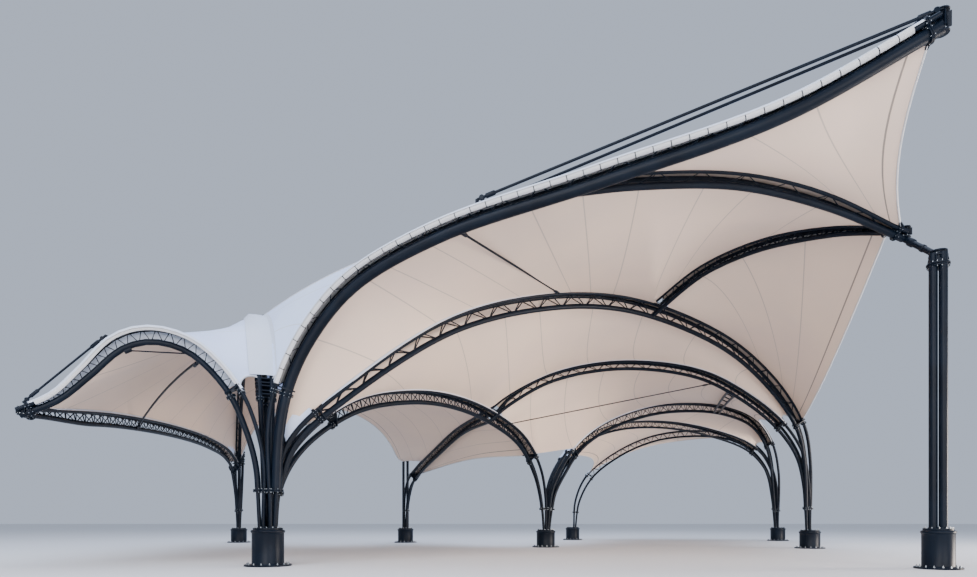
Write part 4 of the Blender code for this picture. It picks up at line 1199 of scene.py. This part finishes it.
# white sleeves on the near upper chords: laced nearly right round the front rail's, a cover over most
# of the wing rail's; start and turn in degrees round the chord
sleeves = {
    "front_rail": {"chord": "right", "radius": 0.088, "bulge": 0.008, "lash": 0.45, "short": 0.6,
                   "start": -80, "turn": 340},
    "wing_rail": {"chord": "left", "radius": 0.074, "bulge": 0.0, "lash": 0.0, "short": 0.5,
                  "start": -62, "turn": 262},
}
sleeveForm = {"from": 0.25, "step": 0.1, "sides": 14, "lashProud": 0.006, "lashWide": 0.03}
for name, sleeve in sleeves.items():
    line, chord = lines[name], sleeve["chord"]
    begin, stop = line.plan["legs"][0] + sleeveForm["from"], line.length - sleeve["short"]
    grid = []
    for at in stations(begin, stop, sleeveForm["step"]):
        radius = sleeve["radius"]
        if sleeve["lash"]:
            radius += sleeve["bulge"] * abs(sin(pi * (at - begin) / sleeve["lash"]))
        centre = line.point(chord, at)
        _, side, up = line.axes(at)
        angles = [radians(sleeve["start"] + sleeve["turn"] * r / sleeveForm["sides"])
                  for r in range(sleeveForm["sides"] + 1)]
        grid.append([centre + (side * cos(angle) + up * sin(angle)) * radius for angle in angles])
    piece = Piece()
    piece.skin(grid, 0)
    shown = piece.finished("sleeve_" + name + "_" + chord, [stripClothBrightLit], "cloth")
    if sleeve["lash"]:
        lash = Piece()
        for i in range(int((stop - begin) / sleeve["lash"]) + 1):
            at = begin + i * sleeve["lash"]
            lash.disc(line.point(chord, at), line.axes(at)[0], sleeve["radius"] + sleeveForm["lashProud"],
                      sleeveForm["lashWide"], 18)
        lash.finished("lashing_" + name + "_" + chord, [lashing], "cloth")
print("sleeves made")

# cables in the cuffs of the free edges, with a bolted corner plate at each end
cornerPlate = {
    "half": 0.09, "tipHalf": 0.03, "long": 0.26, "thick": 0.05, "boltsIn": 0.08,
    "bolting": (0.04, 3, 0.014, 0.02),
    "clamped": ("sheet_wing", "sheet_saddle"),  # held by the clamps in front
}
edges, corners = Piece(), Piece()
for name, (_, grid) in surfaces.items():
    cuts = sheets[name]["cuts"]
    free = []
    if cuts[0] > 0:
        free.append((grid[0], name not in cornerPlate["clamped"]))
    if cuts[1] > 0:
        free.append((grid[-1], True))
    if "outer" in sheets[name]["belts"]:
        free.append(([column[-1] for column in grid], True))
    for line, plated in free:
        edges.tube(line, cloth["cuff"], 8)
        for end, nextPoint in ((line[0], line[1]), (line[-1], line[-2])) if plated else ():
            way = (nextPoint - end).normalized()
            side = way.cross(upward).normalized()
            wide, slim = side * cornerPlate["half"], side * cornerPlate["tipHalf"]
            tip = end + way * cornerPlate["long"]
            corners.plate([end - wide, end + wide, tip + slim, tip - slim], cornerPlate["thick"])
            out = way.cross(side)
            corners.bolts(end + way * cornerPlate["boltsIn"] + out * cornerPlate["thick"] / 2, out,
                          *cornerPlate["bolting"])
edges.finished("edge_cuffs", [stripClothBrightLit], "cloth")
corners.finished("corner_plates", steel, "steel")
print("edges made")

# plain pale floor and soft studio light
studio = {
    "floor": "#dfdfe0", "floorHalf": 250, "floorDrop": -0.002, "sky": "#c9d5ea", "skyStrength": 0.85,
    "aim": Vector((9, 9, 4)),
    "lamps": {  # place, size, power and colour
        "key": ((-12, -30, 32), 24, 13000.0, "#eef3ff"),
        "top": ((10, 8, 45), 50, 22000.0, "#d8e5ff"),
        "front": ((0, -42, 12), 17, 9500.0, "#fff8f2"),
        "right": ((28, -34, 9), 17, 6000.0, "#fff8f2"),
        "low": ((46, 0, 4), 9, 14000.0, "#fff2e6"),
    },
}
floorMesh = bpy.data.meshes.new("floor")
half = studio["floorHalf"]
floorCorners = [(x * half, y * half, studio["floorDrop"]) for x, y in ((-1, -1), (1, -1), (1, 1), (-1, 1))]
floorMesh.from_pydata(floorCorners, [], [(0, 1, 2, 3)])
floorMesh.materials.append(newFinish("paleFloor", {"Base Color": studio["floor"], "Roughness": 0.9}))
addObject("floor", floorMesh)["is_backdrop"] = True
world = bpy.data.worlds.new("studio")
world.use_nodes = True
background = world.node_tree.nodes["Background"]
background.inputs["Color"].default_value = hexColour(studio["sky"])
background.inputs["Strength"].default_value = studio["skyStrength"]
bpy.context.scene.world = world
for name, (place, size, power, tone) in studio["lamps"].items():
    lamp = bpy.data.lights.new(name, "AREA")
    lamp.size = size
    lamp.energy = power
    lamp.color = hexColour(tone)[:3]
    lampObject = addObject(name, lamp, place)
    lampObject.rotation_euler = (studio["aim"] - Vector(place)).to_track_quat("-Z", "Y").to_euler()
print("floor and light set")

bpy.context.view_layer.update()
triangles = sum(len(p.vertices) - 2 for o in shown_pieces() if o.type == "MESH" for p in o.data.polygons)
print("triangles shown:", triangles)
